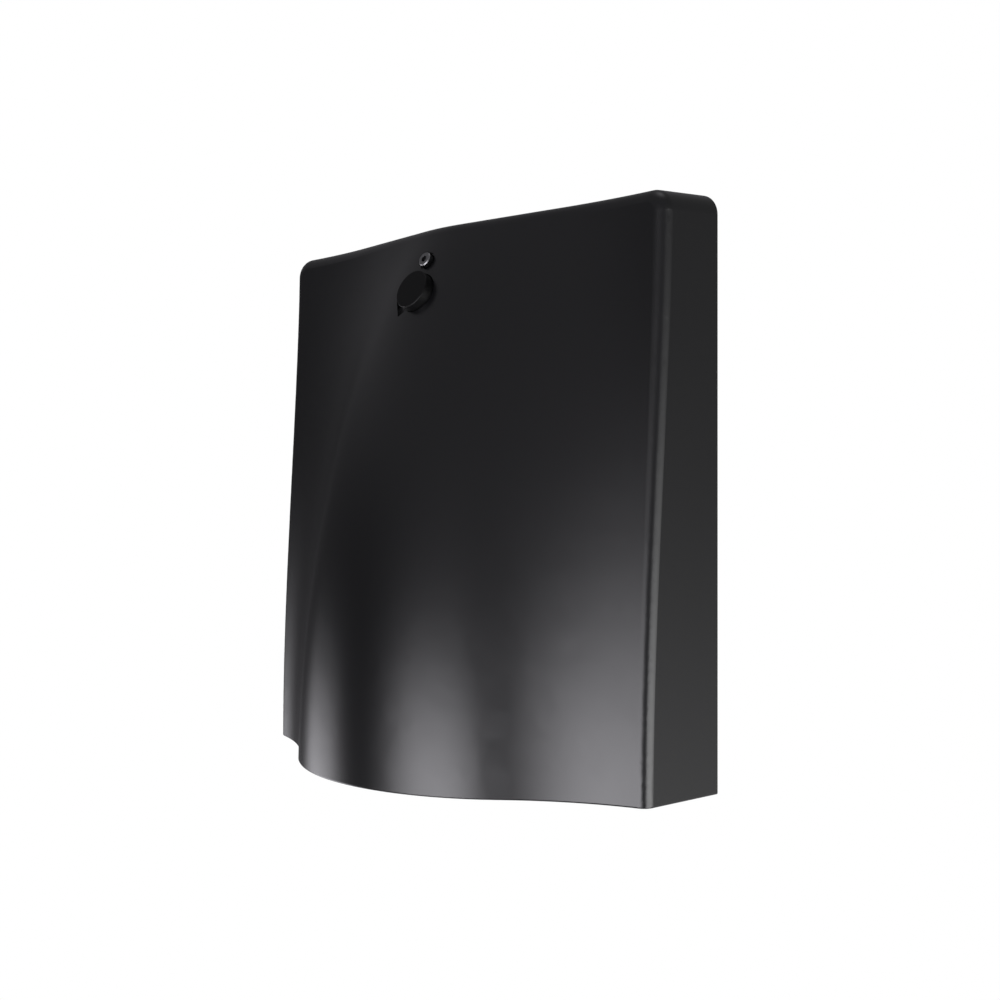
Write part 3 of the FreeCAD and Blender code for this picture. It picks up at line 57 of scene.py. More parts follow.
mm = 0.001
print("frame loaded", len(nodes))


# shader helpers: a term of mathOf is a number or the output of another node
def mathOf(tree, operation, first, second=None):
    node = tree.nodes.new("ShaderNodeMath")
    node.operation = operation
    for socket, item in zip(node.inputs, (first, second)):
        if item is None:
            continue
        if isinstance(item, (int, float)):
            socket.default_value = item
        else:
            tree.links.new(item, socket)
    return node.outputs[0]


def rangeOf(tree, source, low, high):
    node = tree.nodes.new("ShaderNodeMapRange")
    node.inputs["To Min"].default_value = low
    node.inputs["To Max"].default_value = high
    tree.links.new(source, node.inputs["Value"])
    return node.outputs["Result"]


def reliefOf(tree, source, strength, depth):
    node = tree.nodes.new("ShaderNodeBump")
    node.inputs["Strength"].default_value = strength
    node.inputs["Distance"].default_value = depth
    tree.links.new(source, node.inputs["Height"])
    return node.outputs["Normal"]


def surfaceOf(name):
    material = bpy.data.materials.new(name)
    material.use_nodes = True
    tree = material.node_tree
    return material, tree, tree.nodes["Principled BSDF"]


# every finish is a principled surface with grain in its tone, gloss and relief
grainNoise = {"detail": 3.0, "depth": 0.0002, "leastRough": 0.02}


def finishOf(name, tone, rough, metal=0.0, grain=400.0, mottle=0.08, glossMottle=0.06, relief=0.02, shine=0.5,
             stretch=(1, 1, 1)):
    material, tree, shader = surfaceOf(name)
    shader.inputs["Metallic"].default_value = metal
    shader.inputs["Specular IOR Level"].default_value = shine
    place = tree.nodes.new("ShaderNodeTexCoord")
    mapping = tree.nodes.new("ShaderNodeMapping")
    mapping.inputs["Scale"].default_value = stretch
    noise = tree.nodes.new("ShaderNodeTexNoise")
    noise.inputs["Scale"].default_value = grain
    noise.inputs["Detail"].default_value = grainNoise["detail"]
    tree.links.new(place.outputs["Object"], mapping.inputs["Vector"])
    tree.links.new(mapping.outputs["Vector"], noise.inputs["Vector"])
    speck = noise.outputs["Fac"]
    tint = tree.nodes.new("ShaderNodeVectorMath")
    tint.name = "tint"
    tint.operation = "SCALE"
    tint.inputs[0].default_value = tone
    tree.links.new(rangeOf(tree, speck, 1.0 - mottle, 1.0 + mottle), tint.inputs["Scale"])
    tree.links.new(tint.outputs["Vector"], shader.inputs["Base Color"])
    smoother = max(grainNoise["leastRough"], rough - glossMottle)
    rougher = min(1.0, rough + glossMottle)
    tree.links.new(rangeOf(tree, speck, smoother, rougher), shader.inputs["Roughness"])
    tree.links.new(reliefOf(tree, speck, relief, grainNoise["depth"]), shader.inputs["Normal"])
    return material


# a second tone on part of a finish, chosen by a coordinate of the piece
def secondTone(material, tone, axis, start, end, step=None, origin=0.0):
    tree = material.node_tree
    place = tree.nodes.new("ShaderNodeTexCoord")
    split = tree.nodes.new("ShaderNodeSeparateXYZ")
    tree.links.new(place.outputs["Object"], split.inputs[0])
    spot = mathOf(tree, "SUBTRACT", split.outputs[axis], origin)
    if step:
        spot = mathOf(tree, "FLOORED_MODULO", spot, step)
    after = mathOf(tree, "GREATER_THAN", spot, start)
    before = mathOf(tree, "LESS_THAN", spot, end)
    mix = tree.nodes.new("ShaderNodeMix")
    mix.data_type = "RGBA"
    tree.links.new(mathOf(tree, "MULTIPLY", after, before), mix.inputs["Factor"])
    tree.links.new(tree.nodes["tint"].outputs["Vector"], mix.inputs["A"])
    mix.inputs["B"].default_value = (*tone, 1)
    tree.links.new(mix.outputs["Result"], tree.nodes["Principled BSDF"].inputs["Base Color"])


# clear moulded plastic, with fine ribs across it
clearPlastic = {"index": 1.49, "smoother": 0.7, "rougher": 1.3, "depth": 0.0005}


def clearOf(name, tone, rough, ribs, relief):
    material, tree, shader = surfaceOf(name)
    shader.inputs["Base Color"].default_value = (*tone, 1)
    shader.inputs["Transmission Weight"].default_value = 1.0
    shader.inputs["IOR"].default_value = clearPlastic["index"]
    place = tree.nodes.new("ShaderNodeTexCoord")
    wave = tree.nodes.new("ShaderNodeTexWave")
    wave.inputs["Scale"].default_value = ribs
    wave.inputs["Distortion"].default_value = 0.0
    tree.links.new(place.outputs["Object"], wave.inputs["Vector"])
    rib = wave.outputs["Fac"]
    gloss = rangeOf(tree, rib, rough * clearPlastic["smoother"], rough * clearPlastic["rougher"])
    tree.links.new(gloss, shader.inputs["Roughness"])
    tree.links.new(reliefOf(tree, rib, relief, clearPlastic["depth"]), shader.inputs["Normal"])
    return material


coverCoat = finishOf("coverCoat", (0.0042, 0.0042, 0.0048), 0.25, grain=2600, mottle=0.05, glossMottle=0.02,
                     relief=0.015, shine=0.75)
plateCoat = finishOf("plateCoat", (0.02, 0.02, 0.022), 0.5, grain=1500, relief=0.08)
buttonBlack = finishOf("buttonBlack", (0.0008, 0.0008, 0.0009), 0.48, grain=1800, relief=0.03, shine=0.24)
sealRubber = finishOf("sealRubber", (0.012, 0.012, 0.012), 0.75, grain=900, relief=0.06, shine=0.3)
foamRubber = finishOf("foamRubber", (0.014, 0.014, 0.014), 0.9, grain=1400, relief=0.3, mottle=0.3, shine=0.2)
steel = finishOf("steel", (0.36, 0.36, 0.37), 0.42, metal=1.0, grain=1200)
headSteel = finishOf("headSteel", (0.27, 0.27, 0.275), 0.42, metal=1.0, grain=1200)
# near-black steel: painted shade in the screw head's six-sided recess
shadedRecessSteel = finishOf("shadedRecessSteel", (0.06, 0.06, 0.062), 0.5, metal=1.0, grain=2000)
# near-black steel: painted shade on the knurled side of the screw head
shadedKnurlSteel = finishOf("shadedKnurlSteel", (0.02, 0.02, 0.021), 0.5, metal=1.0, grain=2000)
tin = finishOf("tin", (0.62, 0.62, 0.6), 0.35, metal=1.0, grain=2500)
brass = finishOf("brass", (0.66, 0.48, 0.2), 0.3, metal=1.0, grain=900)
copperWire = finishOf("copperWire", (0.5, 0.2, 0.07), 0.3, metal=1.0, grain=1500)
bracketMetal = finishOf("bracketMetal", (0.62, 0.63, 0.65), 0.38, metal=1.0, grain=700, stretch=(0.06, 1, 1))
boardWhite = finishOf("boardWhite", (0.8, 0.8, 0.77), 0.4, grain=600, mottle=0.03)
phosphor = finishOf("phosphor", (0.9, 0.68, 0.16), 0.35, grain=2000)
frameWhite = finishOf("frameWhite", (0.85, 0.85, 0.83), 0.4, grain=2000, mottle=0.02)
boardGreen = finishOf("boardGreen", (0.014, 0.1, 0.042), 0.3, grain=2200, mottle=0.2)
trackGreen = finishOf("trackGreen", (0.03, 0.2, 0.075), 0.28, grain=2200, mottle=0.1)
sheetFilm = finishOf("sheetFilm", (0.6, 0.56, 0.45), 0.45, grain=350)
ferrite = finishOf("ferrite", (0.03, 0.03, 0.032), 0.6, grain=1300)
windingTape = finishOf("windingTape", (0.72, 0.5, 0.06), 0.42, grain=500, mottle=0.1)
canSleeve = finishOf("canSleeve", (0.012, 0.018, 0.06), 0.3, grain=300)
canTop = finishOf("canTop", (0.72, 0.72, 0.73), 0.3, metal=1.0, grain=1500)
relayBlue = finishOf("relayBlue", (0.03, 0.12, 0.4), 0.28, grain=300, mottle=0.03)
terminalGreen = finishOf("terminalGreen", (0.03, 0.25, 0.1), 0.42, grain=500)
socketWhite = finishOf("socketWhite", (0.75, 0.74, 0.68), 0.42, grain=500, mottle=0.04)
holderBlack = finishOf("holderBlack", (0.015, 0.015, 0.016), 0.5, grain=700, relief=0.05)
chipBlack = finishOf("chipBlack", (0.012, 0.012, 0.013), 0.45, grain=3000)
cellWrap = finishOf("cellWrap", (0.03, 0.2, 0.12), 0.3, grain=250, mottle=0.05)
leadSleeve = finishOf("leadSleeve", (0.4, 0.02, 0.02), 0.4, grain=600)
switchSleeve = finishOf("switchSleeve", (0.35, 0.36, 0.38), 0.4, grain=600)
lensClear = clearOf("lensClear", (0.95, 0.97, 0.98), 0.08, 140.0, 0.35)
opticClear = clearOf("opticClear", (0.97, 0.98, 0.98), 0.04, 60.0, 0.05)

looks = {
    "front_cover": coverCoat, "back_plate": plateCoat, "switch_bracket": holderBlack, "test_button": buttonBlack,
    "wall_gasket": foamRubber, "cover_gasket": sealRubber, "lens_gasket": sealRubber, "cable_grommet": sealRubber,
    "button_boot": sealRubber, "cover_screw": headSteel, "screw_ring": steel, "button_clip": steel,
    "hinge_pins": steel, "lens_screws": steel, "bracket_screws": steel, "led_screws": steel, "board_screws": steel,
    "strap_screws": steel, "lens_retainer": bracketMetal, "battery_straps": bracketMetal, "screw_insert": brass,
    "board_standoffs": brass, "earth_screw": brass, "led_bracket": bracketMetal, "led_board": boardWhite,
    "leds": phosphor, "lens": lensClear, "optic_plate": opticClear, "driver_board": boardGreen,
    "switch_board": boardGreen, "insulating_sheet": sheetFilm, "transformer": ferrite, "choke": ferrite,
    "capacitors": canSleeve, "relay": relayBlue, "terminal_block": terminalGreen, "led_socket": socketWhite,
    "battery_socket": socketWhite, "switch_socket": socketWhite, "battery_holder": holderBlack,
    "test_switch": holderBlack, "battery_cells": cellWrap, "battery_leads": leadSleeve, "led_leads": leadSleeve,
    "switch_leads": switchSleeve,
}
for name, material in looks.items():
    nodes[name].data.materials.clear()
    nodes[name].data.materials.append(material)

# two-colour leads and banded cells
leadSplit = {"tone": (0.012, 0.012, 0.013), "start": -1, "end": -0.0186}
secondTone(leadSleeve, leadSplit["tone"], "Y", leadSplit["start"], leadSplit["end"])
cellBands = {"tone": (0.62, 0.62, 0.58), "gap": 0.001, "start": 0.78, "end": 0.95}
cellLow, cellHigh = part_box("battery_cells")
cellStep = (cellHigh[2] - cellLow[2] + cellBands["gap"]) / 2
secondTone(cellWrap, cellBands["tone"], "Z", cellStep * cellBands["start"], cellStep * cellBands["end"], cellStep,
           cellLow[2])
print("finishes set", len(looks), "cell step", cellStep)

# floor: plain and pale, far under the lamp, and white to the camera as the paper behind it
floorLook = {"drop": 0.45, "radius": 1.2, "tone": 0.9, "sides": 96}
floorMesh = bmesh.new()
bmesh.ops.create_circle(floorMesh, cap_ends=True, segments=floorLook["sides"], radius=floorLook["radius"],
                        matrix=Matrix.Translation((0, 0, -floorLook["drop"])))
floorData = bpy.data.meshes.new("floor")
floorMesh.to_mesh(floorData)
floorMesh.free()
floorPaint = bpy.data.materials.new("floorPaint")
floorPaint.use_nodes = True
paintTree = floorPaint.node_tree
paintTree.nodes.clear()
dull = paintTree.nodes.new("ShaderNodeBsdfDiffuse")
dull.inputs["Color"].default_value = (floorLook["tone"],) * 3 + (1,)
white = paintTree.nodes.new("ShaderNodeEmission")
rays = paintTree.nodes.new("ShaderNodeLightPath")
floorMix = paintTree.nodes.new("ShaderNodeMixShader")
floorOut = paintTree.nodes.new("ShaderNodeOutputMaterial")
paintTree.links.new(rays.outputs["Is Camera Ray"], floorMix.inputs[0])
paintTree.links.new(dull.outputs[0], floorMix.inputs[1])
paintTree.links.new(white.outputs[0], floorMix.inputs[2])
paintTree.links.new(floorMix.outputs[0], floorOut.inputs["Surface"])
floorData.materials.append(floorPaint)
floor = bpy.data.objects.new("floor", floorData)
scene.collection.objects.link(floor)
floor.visible_shadow = False
floor.visible_diffuse = False
floor.visible_glossy = False


# small pieces are gathered in a mesh, then added to the body they ride on
def brick(mesh, low, high, soften=0.0):
    middle = [(a + b) / 2 for a, b in zip(low, high)]
    size = [abs(b - a) for a, b in zip(low, high)]
    made = bmesh.ops.create_cube(mesh, size=1.0, matrix=Matrix.Translation(middle) @ Matrix.Diagonal((*size, 1)))
    if soften:
        edges = {edge for vert in made["verts"] for edge in vert.link_edges}
        bmesh.ops.bevel(mesh, geom=list(edges), offset=soften, segments=2, profile=0.5, affect="EDGES")


def across(along):
    axis = Vector(along).normalized()
    side = axis.orthogonal().normalized()
    return axis, side, axis.cross(side)


def around(side, up, angle):
    return side * math.cos(angle) + up * math.sin(angle)


# faces between rings of equally many points
def skin(mesh, rings):
    count = len(rings[0])
    for lower, upper in zip(rings, rings[1:]):
        for step in range(count):
            after = (step + 1) % count
            mesh.faces.new((lower[step], lower[after], upper[after], upper[step]))


# a turned piece: a radius of nought in its profile closes it in one point
def lathe(mesh, foot, along, profile, sides=32):
    axis, side, up = across(along)
    rings = []
    for radius, height in profile:
        ring = []
        for step in range(sides if radius > 0 else 1):
            out = around(side, up, 2 * math.pi * step / sides)
            ring.append(mesh.verts.new(Vector(foot) + axis * height + out * radius))
        rings.append(ring)
    for lower, upper in zip(rings, rings[1:]):
        for step in range(sides):
            after = (step + 1) % sides
            corners = [lower[step % len(lower)], lower[after % len(lower)], upper[after % len(upper)],
                       upper[step % len(upper)]]
            corners = list(dict.fromkeys(corners))
            if len(corners) > 2:
                mesh.faces.new(corners)


# a slice of a disc, moved out from the middle by the gap
def sector(mesh, foot, along, radius, height, start, end, gap, steps=10):
    axis, side, up = across(along)
    shift = around(side, up, math.radians((start + end) / 2)) * gap
    outline = [Vector(foot) + shift]
    for step in range(steps + 1):
        angle = math.radians(start + (end - start) * step / steps)
        outline.append(Vector(foot) + shift + around(side, up, angle) * (radius - gap))
    lower = [mesh.verts.new(point) for point in outline]
    upper = [mesh.verts.new(point + axis * height) for point in outline]
    mesh.faces.new(lower)
    mesh.faces.new(upper)
    skin(mesh, [lower, upper])


def tube(mesh, points, radius, sides=8):
    rings = []
    for index, point in enumerate(points):
        before = points[max(index - 1, 0)]
        after = points[min(index + 1, len(points) - 1)]
        axis, side, up = across(Vector(after) - Vector(before))
        ring = []
        for step in range(sides):
            out = around(side, up, 2 * math.pi * step / sides)
            ring.append(mesh.verts.new(Vector(point) + out * radius))
        if rings:
            first = min(range(sides), key=lambda k: (ring[k].co - rings[-1][0].co).length)
            ring = ring[first:] + ring[:first]
        rings.append(ring)
    skin(mesh, rings)
    mesh.faces.new(rings[0])
    mesh.faces.new(rings[-1])


def addPiece(name, mesh, material, body, smooth=35):
    bmesh.ops.recalc_face_normals(mesh, faces=mesh.faces)
    data = bpy.data.meshes.new(name)
    mesh.to_mesh(data)
    mesh.free()
    data.materials.append(material)
    data.shade_smooth()
    data.set_sharp_from_angle(angle=math.radians(smooth))
    piece = bpy.data.objects.new(name, data)
    scene.collection.objects.link(piece)
    if body:
        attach(piece, body)
    return piece


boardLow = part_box("driver_board")[0]
frontward = (0, -1, 0)


def onBoard(x, z, lift=0.0):  # millimetres from the lower left corner of the board's face
    return Vector((boardLow[0] + x * mm, boardLow[1] - lift * mm, boardLow[2] + z * mm))


def boardBrick(mesh, x, z, wide, tall, low, high, soften):  # millimetres, about a spot on the board
    brick(mesh, onBoard(x - wide / 2, z - tall / 2, low), onBoard(x + wide / 2, z + tall / 2, high), soften * mm)


# copper tracks under the green mask
boardTracks = {
    "width": 1.0, "lift": 0.06, "sides": 16,
    "runs": [
        [(11, 11), (11, 18)], [(17, 11), (17, 18)], [(26, 21), (33, 21), (38, 25)], [(26, 28), (31, 28), (37, 31)],
        [(11, 44), (11, 55)], [(18, 44), (18, 55)], [(25, 44), (25, 55)], [(32, 58), (38, 58), (43, 63)],
        [(32, 74), (40, 74), (46, 68)], [(43, 48), (37, 48), (31, 54)], [(48, 44), (48, 34)],
        [(52, 46), (57, 41), (57, 14), (53, 9)], [(44, 21), (44, 14), (46, 11)],
        [(23, 87), (23, 84), (36, 84), (41, 80)], [(29, 87), (37, 87), (43, 81)], [(60, 12), (60, 80), (54, 84)],
        [(63, 14), (63, 82)], [(5, 14), (5, 82), (14, 88), (21, 88)], [(53, 66), (56, 69), (56, 76), (52, 79)],
    ],
}
mesh = bmesh.new()
half, lift = boardTracks["width"] / 2 * mm, boardTracks["lift"] * mm
for run in boardTracks["runs"]:
    for start, end in zip(run, run[1:]):
        a, b = onBoard(*start), onBoard(*end)
        side = (b - a).normalized().cross(Vector(frontward)) * half
        lower = [mesh.verts.new(point) for point in (a - side, b - side, b + side, a + side)]
        upper = [mesh.verts.new(vert.co + Vector(frontward) * lift) for vert in lower]
        mesh.faces.new(upper)
        skin(mesh, [lower, upper])
    for spot in run:
        lathe(mesh, onBoard(*spot), frontward, [(half, 0), (half, lift), (0, lift)], boardTracks["sides"])
addPiece("boardTracks", mesh, trackGreen, "base")

# solder joints: small domes at the ends of the tracks
solderJoints = {"radius": 0.95, "rise": 0.55, "sides": 20,
                "dome": [(1, 0), (1, 0.2), (0.75, 0.45), (0.35, 0.85), (0, 1)]}
mesh = bmesh.new()
radius, rise = solderJoints["radius"] * mm, solderJoints["rise"] * mm
dome = [(radius * reach, rise * level) for reach, level in solderJoints["dome"]]
for run in boardTracks["runs"]:
    for spot in (run[0], run[-1]):
        lathe(mesh, onBoard(*spot), frontward, dome, solderJoints["sides"])
addPiece("solderJoints", mesh, tin, "base", 60)

# flat resistors and the two larger chips
flatParts = {
    "size": (2.0, 1.2, 0.55), "lift": 0.05, "soften": 0.05, "chipLift": 0.15, "chipSoften": 0.2,
    "upright": [(36, 37), (39, 37), (33, 50), (60.5, 87), (34, 66), (34, 70), (51.5, 34), (8, 49), (14.5, 49),
                (21.5, 49)],
    "level": [(33, 12), (33, 15), (38, 12), (57, 50), (57, 54), (57, 58), (57, 62), (36, 90), (40, 90), (44, 90),
              (48, 90)],
    "chips": [{"spot": (47, 78), "size": (10, 4, 1.5), "legs": 8},
              {"spot": (36, 6), "size": (5, 4, 1.5), "legs": 4}],
}
# tinned ends and chip legs: a bend has its start and end from the chip's flank, its low and high from the board
flatPartEnds = {"reach": 0.4, "over": 0.1, "rise": 0.05, "soften": 0.06, "pitch": 1.27, "legHalf": 0.2,
                "bends": [(0, 0.4, 0.6, 0.8), (0.3, 0.5, 0, 0.8), (0.3, 1, 0, 0.2)]}
bodies, ends = bmesh.new(), bmesh.new()
long, short, thick = flatParts["size"]
capLong, capShort = short + flatPartEnds["over"], flatPartEnds["reach"] + flatPartEnds["over"]
capShift, capTop = (long - flatPartEnds["reach"]) / 2, thick + flatPartEnds["rise"]
for x, z in flatParts["upright"]:
    boardBrick(bodies, x, z, short, long, flatParts["lift"], thick, flatParts["soften"])
    for shift in (-capShift, capShift):
        boardBrick(ends, x, z + shift, capLong, capShort, 0, capTop, flatPartEnds["soften"])
for x, z in flatParts["level"]:
    boardBrick(bodies, x, z, long, short, flatParts["lift"], thick, flatParts["soften"])
    for shift in (-capShift, capShift):
        boardBrick(ends, x + shift, z, capShort, capLong, 0, capTop, flatPartEnds["soften"])
for chip in flatParts["chips"]:
    x, z = chip["spot"]
    wide, tall, thick = chip["size"]
    boardBrick(bodies, x, z, wide, tall, flatParts["chipLift"], thick, flatParts["chipSoften"])
    for leg in range(chip["legs"]):
        legX = x + (leg - (chip["legs"] - 1) / 2) * flatPartEnds["pitch"]
        for sign in (-1, 1):
            flank = z + sign * tall / 2
            for start, end, low, high in flatPartEnds["bends"]:
                brick(ends, onBoard(legX - flatPartEnds["legHalf"], flank + sign * start, low),
                      onBoard(legX + flatPartEnds["legHalf"], flank + sign * end, high))
addPiece("flatParts", bodies, chipBlack, "base")
addPiece("flatPartEnds", ends, tin, "base")

# yellow tape round the transformer's winding, with the loose end of the tape across it
tapeWrap = {"inset": 5.2, "sink": 1.0, "crown": 0.7, "root": 0.6, "soften": 0.6, "endSide": 1.0, "endTrim": 1.2,
            "endWidth": 6, "endThick": 0.12, "endRoot": 0.3, "endSoften": 0.05}
low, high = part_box("transformer")
mesh = bmesh.new()
front = low[1] + tapeWrap["sink"] * mm
inset, trim = tapeWrap["inset"] * mm, tapeWrap["endTrim"] * mm
brick(mesh, (low[0] + inset, front - tapeWrap["crown"] * mm, low[2] + inset),
      (high[0] - inset, front + tapeWrap["root"] * mm, high[2] - inset), tapeWrap["soften"] * mm)
endLeft, endRight = tapeWrap["endSide"] * mm, (tapeWrap["endSide"] + tapeWrap["endWidth"]) * mm
endFront = front - (tapeWrap["crown"] + tapeWrap["endThick"]) * mm
brick(mesh, (low[0] + inset + endLeft, endFront, low[2] + inset + trim),
      (low[0] + inset + endRight, front - tapeWrap["endRoot"] * mm, high[2] - inset - trim),
      tapeWrap["endSoften"] * mm)
addPiece("windingTape", mesh, windingTape, "base")

# rolled sleeve edge and scored metal top of each can
canRims = {"edge": 5.0, "roll": 0.25, "lip": 0.05, "sides": 40, "outer": [(1, 0), (0.99, 0.6), (0.955, 1)],
           "inner": (1.03, 0.9)}
canTops = {"disc": 4.25, "level": 0.04, "plate": 0.93, "thick": 0.14, "score": 0.16, "sides": 40}
low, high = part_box("capacitors")
rims, tops = bmesh.new(), bmesh.new()
canX = (low[0] + high[0]) / 2
edge, roll = canRims["edge"] * mm, canRims["roll"] * mm
disc, level = canTops["disc"] * mm, canTops["level"] * mm
rolled = [(edge * reach, roll * height) for reach, height in canRims["outer"]]
rolled += [(disc * canRims["inner"][0], roll * canRims["inner"][1]), (disc, canRims["lip"] * mm)]
for canZ in (low[2] + edge, high[2] - edge):
    foot = (canX, low[1], canZ)
    lathe(rims, foot, frontward, rolled, canRims["sides"])
    lathe(tops, foot, frontward, [(disc, level), (0, level)], canTops["sides"])
    for quarter in (0, 90, 180, 270):
        sector(tops, (canX, low[1] - level, canZ), frontward, disc * canTops["plate"], canTops["thick"] * mm,
               quarter, quarter + 90, canTops["score"] * mm)
addPiece("canRims", rims, canSleeve, "base")
addPiece("canTops", tops, canTop, "base")

# slotted clamp screws in the three terminal wells
clampScrews = {"radius": 2.0, "sunk": 1.2, "length": 2.6, "slot": 0.35, "cut": 0.8, "sides": 28, "steps": 16,
               "halves": (20, 200)}
low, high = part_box("terminal_block")
mesh = bmesh.new()
z = (low[2] + high[2]) / 2
top = low[1] + clampScrews["sunk"] * mm
radius, length, cut = clampScrews["radius"] * mm, clampScrews["length"] * mm, clampScrews["cut"] * mm
shank = [(0, 0), (radius, 0), (radius, length - cut), (0, length - cut)]
for well in (-1, 0, 1):
    x = (low[0] + high[0]) / 2 + well * (high[0] - low[0]) / 3
    lathe(mesh, (x, top + length, z), frontward, shank, clampScrews["sides"])
    for start in clampScrews["halves"]:
        sector(mesh, (x, top + cut, z), frontward, radius, cut, start, start + 180, clampScrews["slot"] * mm,
               clampScrews["steps"])
addPiece("clampScrews", mesh, steel, "base")

# square pins in the three sockets
socketPins = {"side": 0.55, "pitch": 1.8, "reach": 7.4, "floor": 2.9, "soften": 0.1}
mesh = bmesh.new()
half = socketPins["side"] / 2 * mm
for node in ("led_socket", "battery_socket", "switch_socket"):
    low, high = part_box(node)
    x, z = (low[0] + high[0]) / 2, (low[2] + high[2]) / 2
    for step in (-1, 0, 1):
        pinX = x + step * socketPins["pitch"] * mm
        brick(mesh, (pinX - half, high[1] - socketPins["floor"] * mm, z - half),
              (pinX + half, high[1] - socketPins["reach"] * mm, z + half), socketPins["soften"] * mm)
addPiece("socketPins", mesh, tin, "base")

# wire turns round the choke
chokeTurns = {"turns": 19, "wire": 0.34, "bore": 3.0, "outer": 7.0, "open": 50, "foot": 0.5, "bend": 0.6,
              "corner": 0.3}
low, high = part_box("choke")
centre = Vector(((low[0] + high[0]) / 2, high[1], (low[2] + high[2]) / 2))
wire, bend, foot = chokeTurns["wire"], chokeTurns["bend"], chokeTurns["foot"]
corner = bend * chokeTurns["corner"]
inner, outer, top = chokeTurns["bore"] - wire, chokeTurns["outer"] + wire, (high[1] - low[1]) / mm + wire
turnPath = [(outer, foot), (outer, top - bend), (outer - corner, top - corner), (outer - bend, top),
            (inner + bend, top), (inner + corner, top - corner), (inner, top - bend), (inner, foot)]
mesh = bmesh.new()
for turn in range(chokeTurns["turns"]):
    share = (turn + 0.5) / chokeTurns["turns"]
    angle = math.radians(chokeTurns["open"] / 2 + (360 - chokeTurns["open"]) * share)
    out = Vector((math.cos(angle), 0, math.sin(angle)))
    tube(mesh, [centre + out * (a * mm) + Vector(frontward) * (b * mm) for a, b in turnPath], wire * mm)
addPiece("chokeTurns", mesh, copperWire, "base", 60)

# white frames round the light chips: square outside, with a round mouth
lightFrames = {"side": 3.9, "mouth": 1.45, "lip": 0.1, "wall": 0.5, "well": 0.02, "steps": 32,
               "columns": (-36, -12, 12, 36), "rows": (-18.5, -34.5)}
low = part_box("leds")[0]
mesh = bmesh.new()
angles = [2 * math.pi * (step + 0.5) / lightFrames["steps"] for step in range(lightFrames["steps"])]
square = [lightFrames["side"] / 2 / max(abs(math.cos(angle)), abs(math.sin(angle))) for angle in angles]
mouth = [lightFrames["mouth"]] * len(angles)
levels = [(square, lightFrames["wall"]), (square, -lightFrames["lip"]), (mouth, -lightFrames["lip"]),
          (mouth, lightFrames["well"])]
for x in lightFrames["columns"]:
    for y in lightFrames["rows"]:
        foot = Vector((x * mm, y * mm, low[2]))
        rings = []
        for reaches, drop in levels:
            points = [(math.cos(angle) * reach * mm, math.sin(angle) * reach * mm, drop * mm)
                      for angle, reach in zip(angles, reaches)]
            rings.append([mesh.verts.new(foot + Vector(point)) for point in points])
        skin(mesh, rings)
addPiece("lightFrames", mesh, frameWhite, "base")

# head of the cover screw: rim, six-sided recess and knurled side; the recess and the knurled side are painted dark
# as shade
screwHead = {"surface": (0, -0.04138, 0.0852), "top": 1.8, "sunk": 0.05, "round": 1.44, "flat": 1.15, "deep": 1.0,
             "tip": 0.1, "tipDeep": 0.3, "steps": 36, "knurlFoot": -0.5, "knurlTop": 1.55, "knurlLow": 2.87,
             "knurlHigh": 2.97, "ridges": 48}
slide = next(joint for joint in frame["record"]["behaviour"]["joints"] if joint["name"] == "screw_slide")
headAxis, headSide, headUp = across(slide["axis"])
surface = Vector(screwHead["surface"])


def headRing(mesh, reaches, level):
    ring = []
    for step, reach in enumerate(reaches):
        out = around(headSide, headUp, 2 * math.pi * step / len(reaches))
        ring.append(mesh.verts.new(surface + headAxis * level * mm + out * reach * mm))
    return ring


sixth = math.pi / 3
hexAngles = [2 * math.pi * step / screwHead["steps"] for step in range(screwHead["steps"])]
hexReach = [screwHead["flat"] / math.cos(angle % sixth - sixth / 2) for angle in hexAngles]
ridgeReach = [screwHead["knurlLow"], screwHead["knurlHigh"]] * screwHead["ridges"]
face = screwHead["top"] - screwHead["sunk"]
recessFloor = face - screwHead["deep"]
rimMesh, wellMesh, knurlMesh = bmesh.new(), bmesh.new(), bmesh.new()
skin(rimMesh, [headRing(rimMesh, [screwHead["round"]] * screwHead["steps"], face),
               headRing(rimMesh, hexReach, face)])
tip = headRing(wellMesh, [screwHead["tip"]] * screwHead["steps"], recessFloor - screwHead["tipDeep"])
skin(wellMesh, [headRing(wellMesh, hexReach, face), headRing(wellMesh, hexReach, recessFloor), tip])
wellMesh.faces.new(tip)
skin(knurlMesh, [headRing(knurlMesh, ridgeReach, screwHead["knurlFoot"]),
                 headRing(knurlMesh, ridgeReach, screwHead["knurlTop"])])
addPiece("screwRim", rimMesh, headSteel, "screw")
# the recess walls and floor carry painted shade
addPiece("screwRecess", wellMesh, shadedRecessSteel, "screw", 25)
# the knurled side carries painted shade
addPiece("screwKnurl", knurlMesh, shadedKnurlSteel, "screw", 5)

# silicone boot, in place of the CAD boot: its flange lies on the pocket's floor and its neck round the button
bootSleeve = {"surface": (0, -0.046351, 0.073), "neck": 4.7, "flange": 7.6, "wall": 0.8, "swell": 0.2, "foot": 0.6,
              "floor": -6.9, "roof": -1.3, "rows": 8, "sides": 64, "weld": 0.001}
press = next(joint for joint in frame["record"]["behaviour"]["joints"] if joint["name"] == "button_press")
outward = -Vector(press["axis"])
wall, neck, flange = bootSleeve["wall"], bootSleeve["neck"], bootSleeve["flange"]
roof, bottom = bootSleeve["roof"], bootSleeve["floor"]
shoulder, ledge = roof - wall, bottom + wall
waist, brim = flange - bootSleeve["foot"], neck + 2 * wall + bootSleeve["swell"]


def slope(start, end):
    shares = [row / bootSleeve["rows"] for row in range(bootSleeve["rows"] + 1)]
    return [(start[0] + (end[0] - start[0]) * share, start[1] + (end[1] - start[1]) * share) for share in shares]


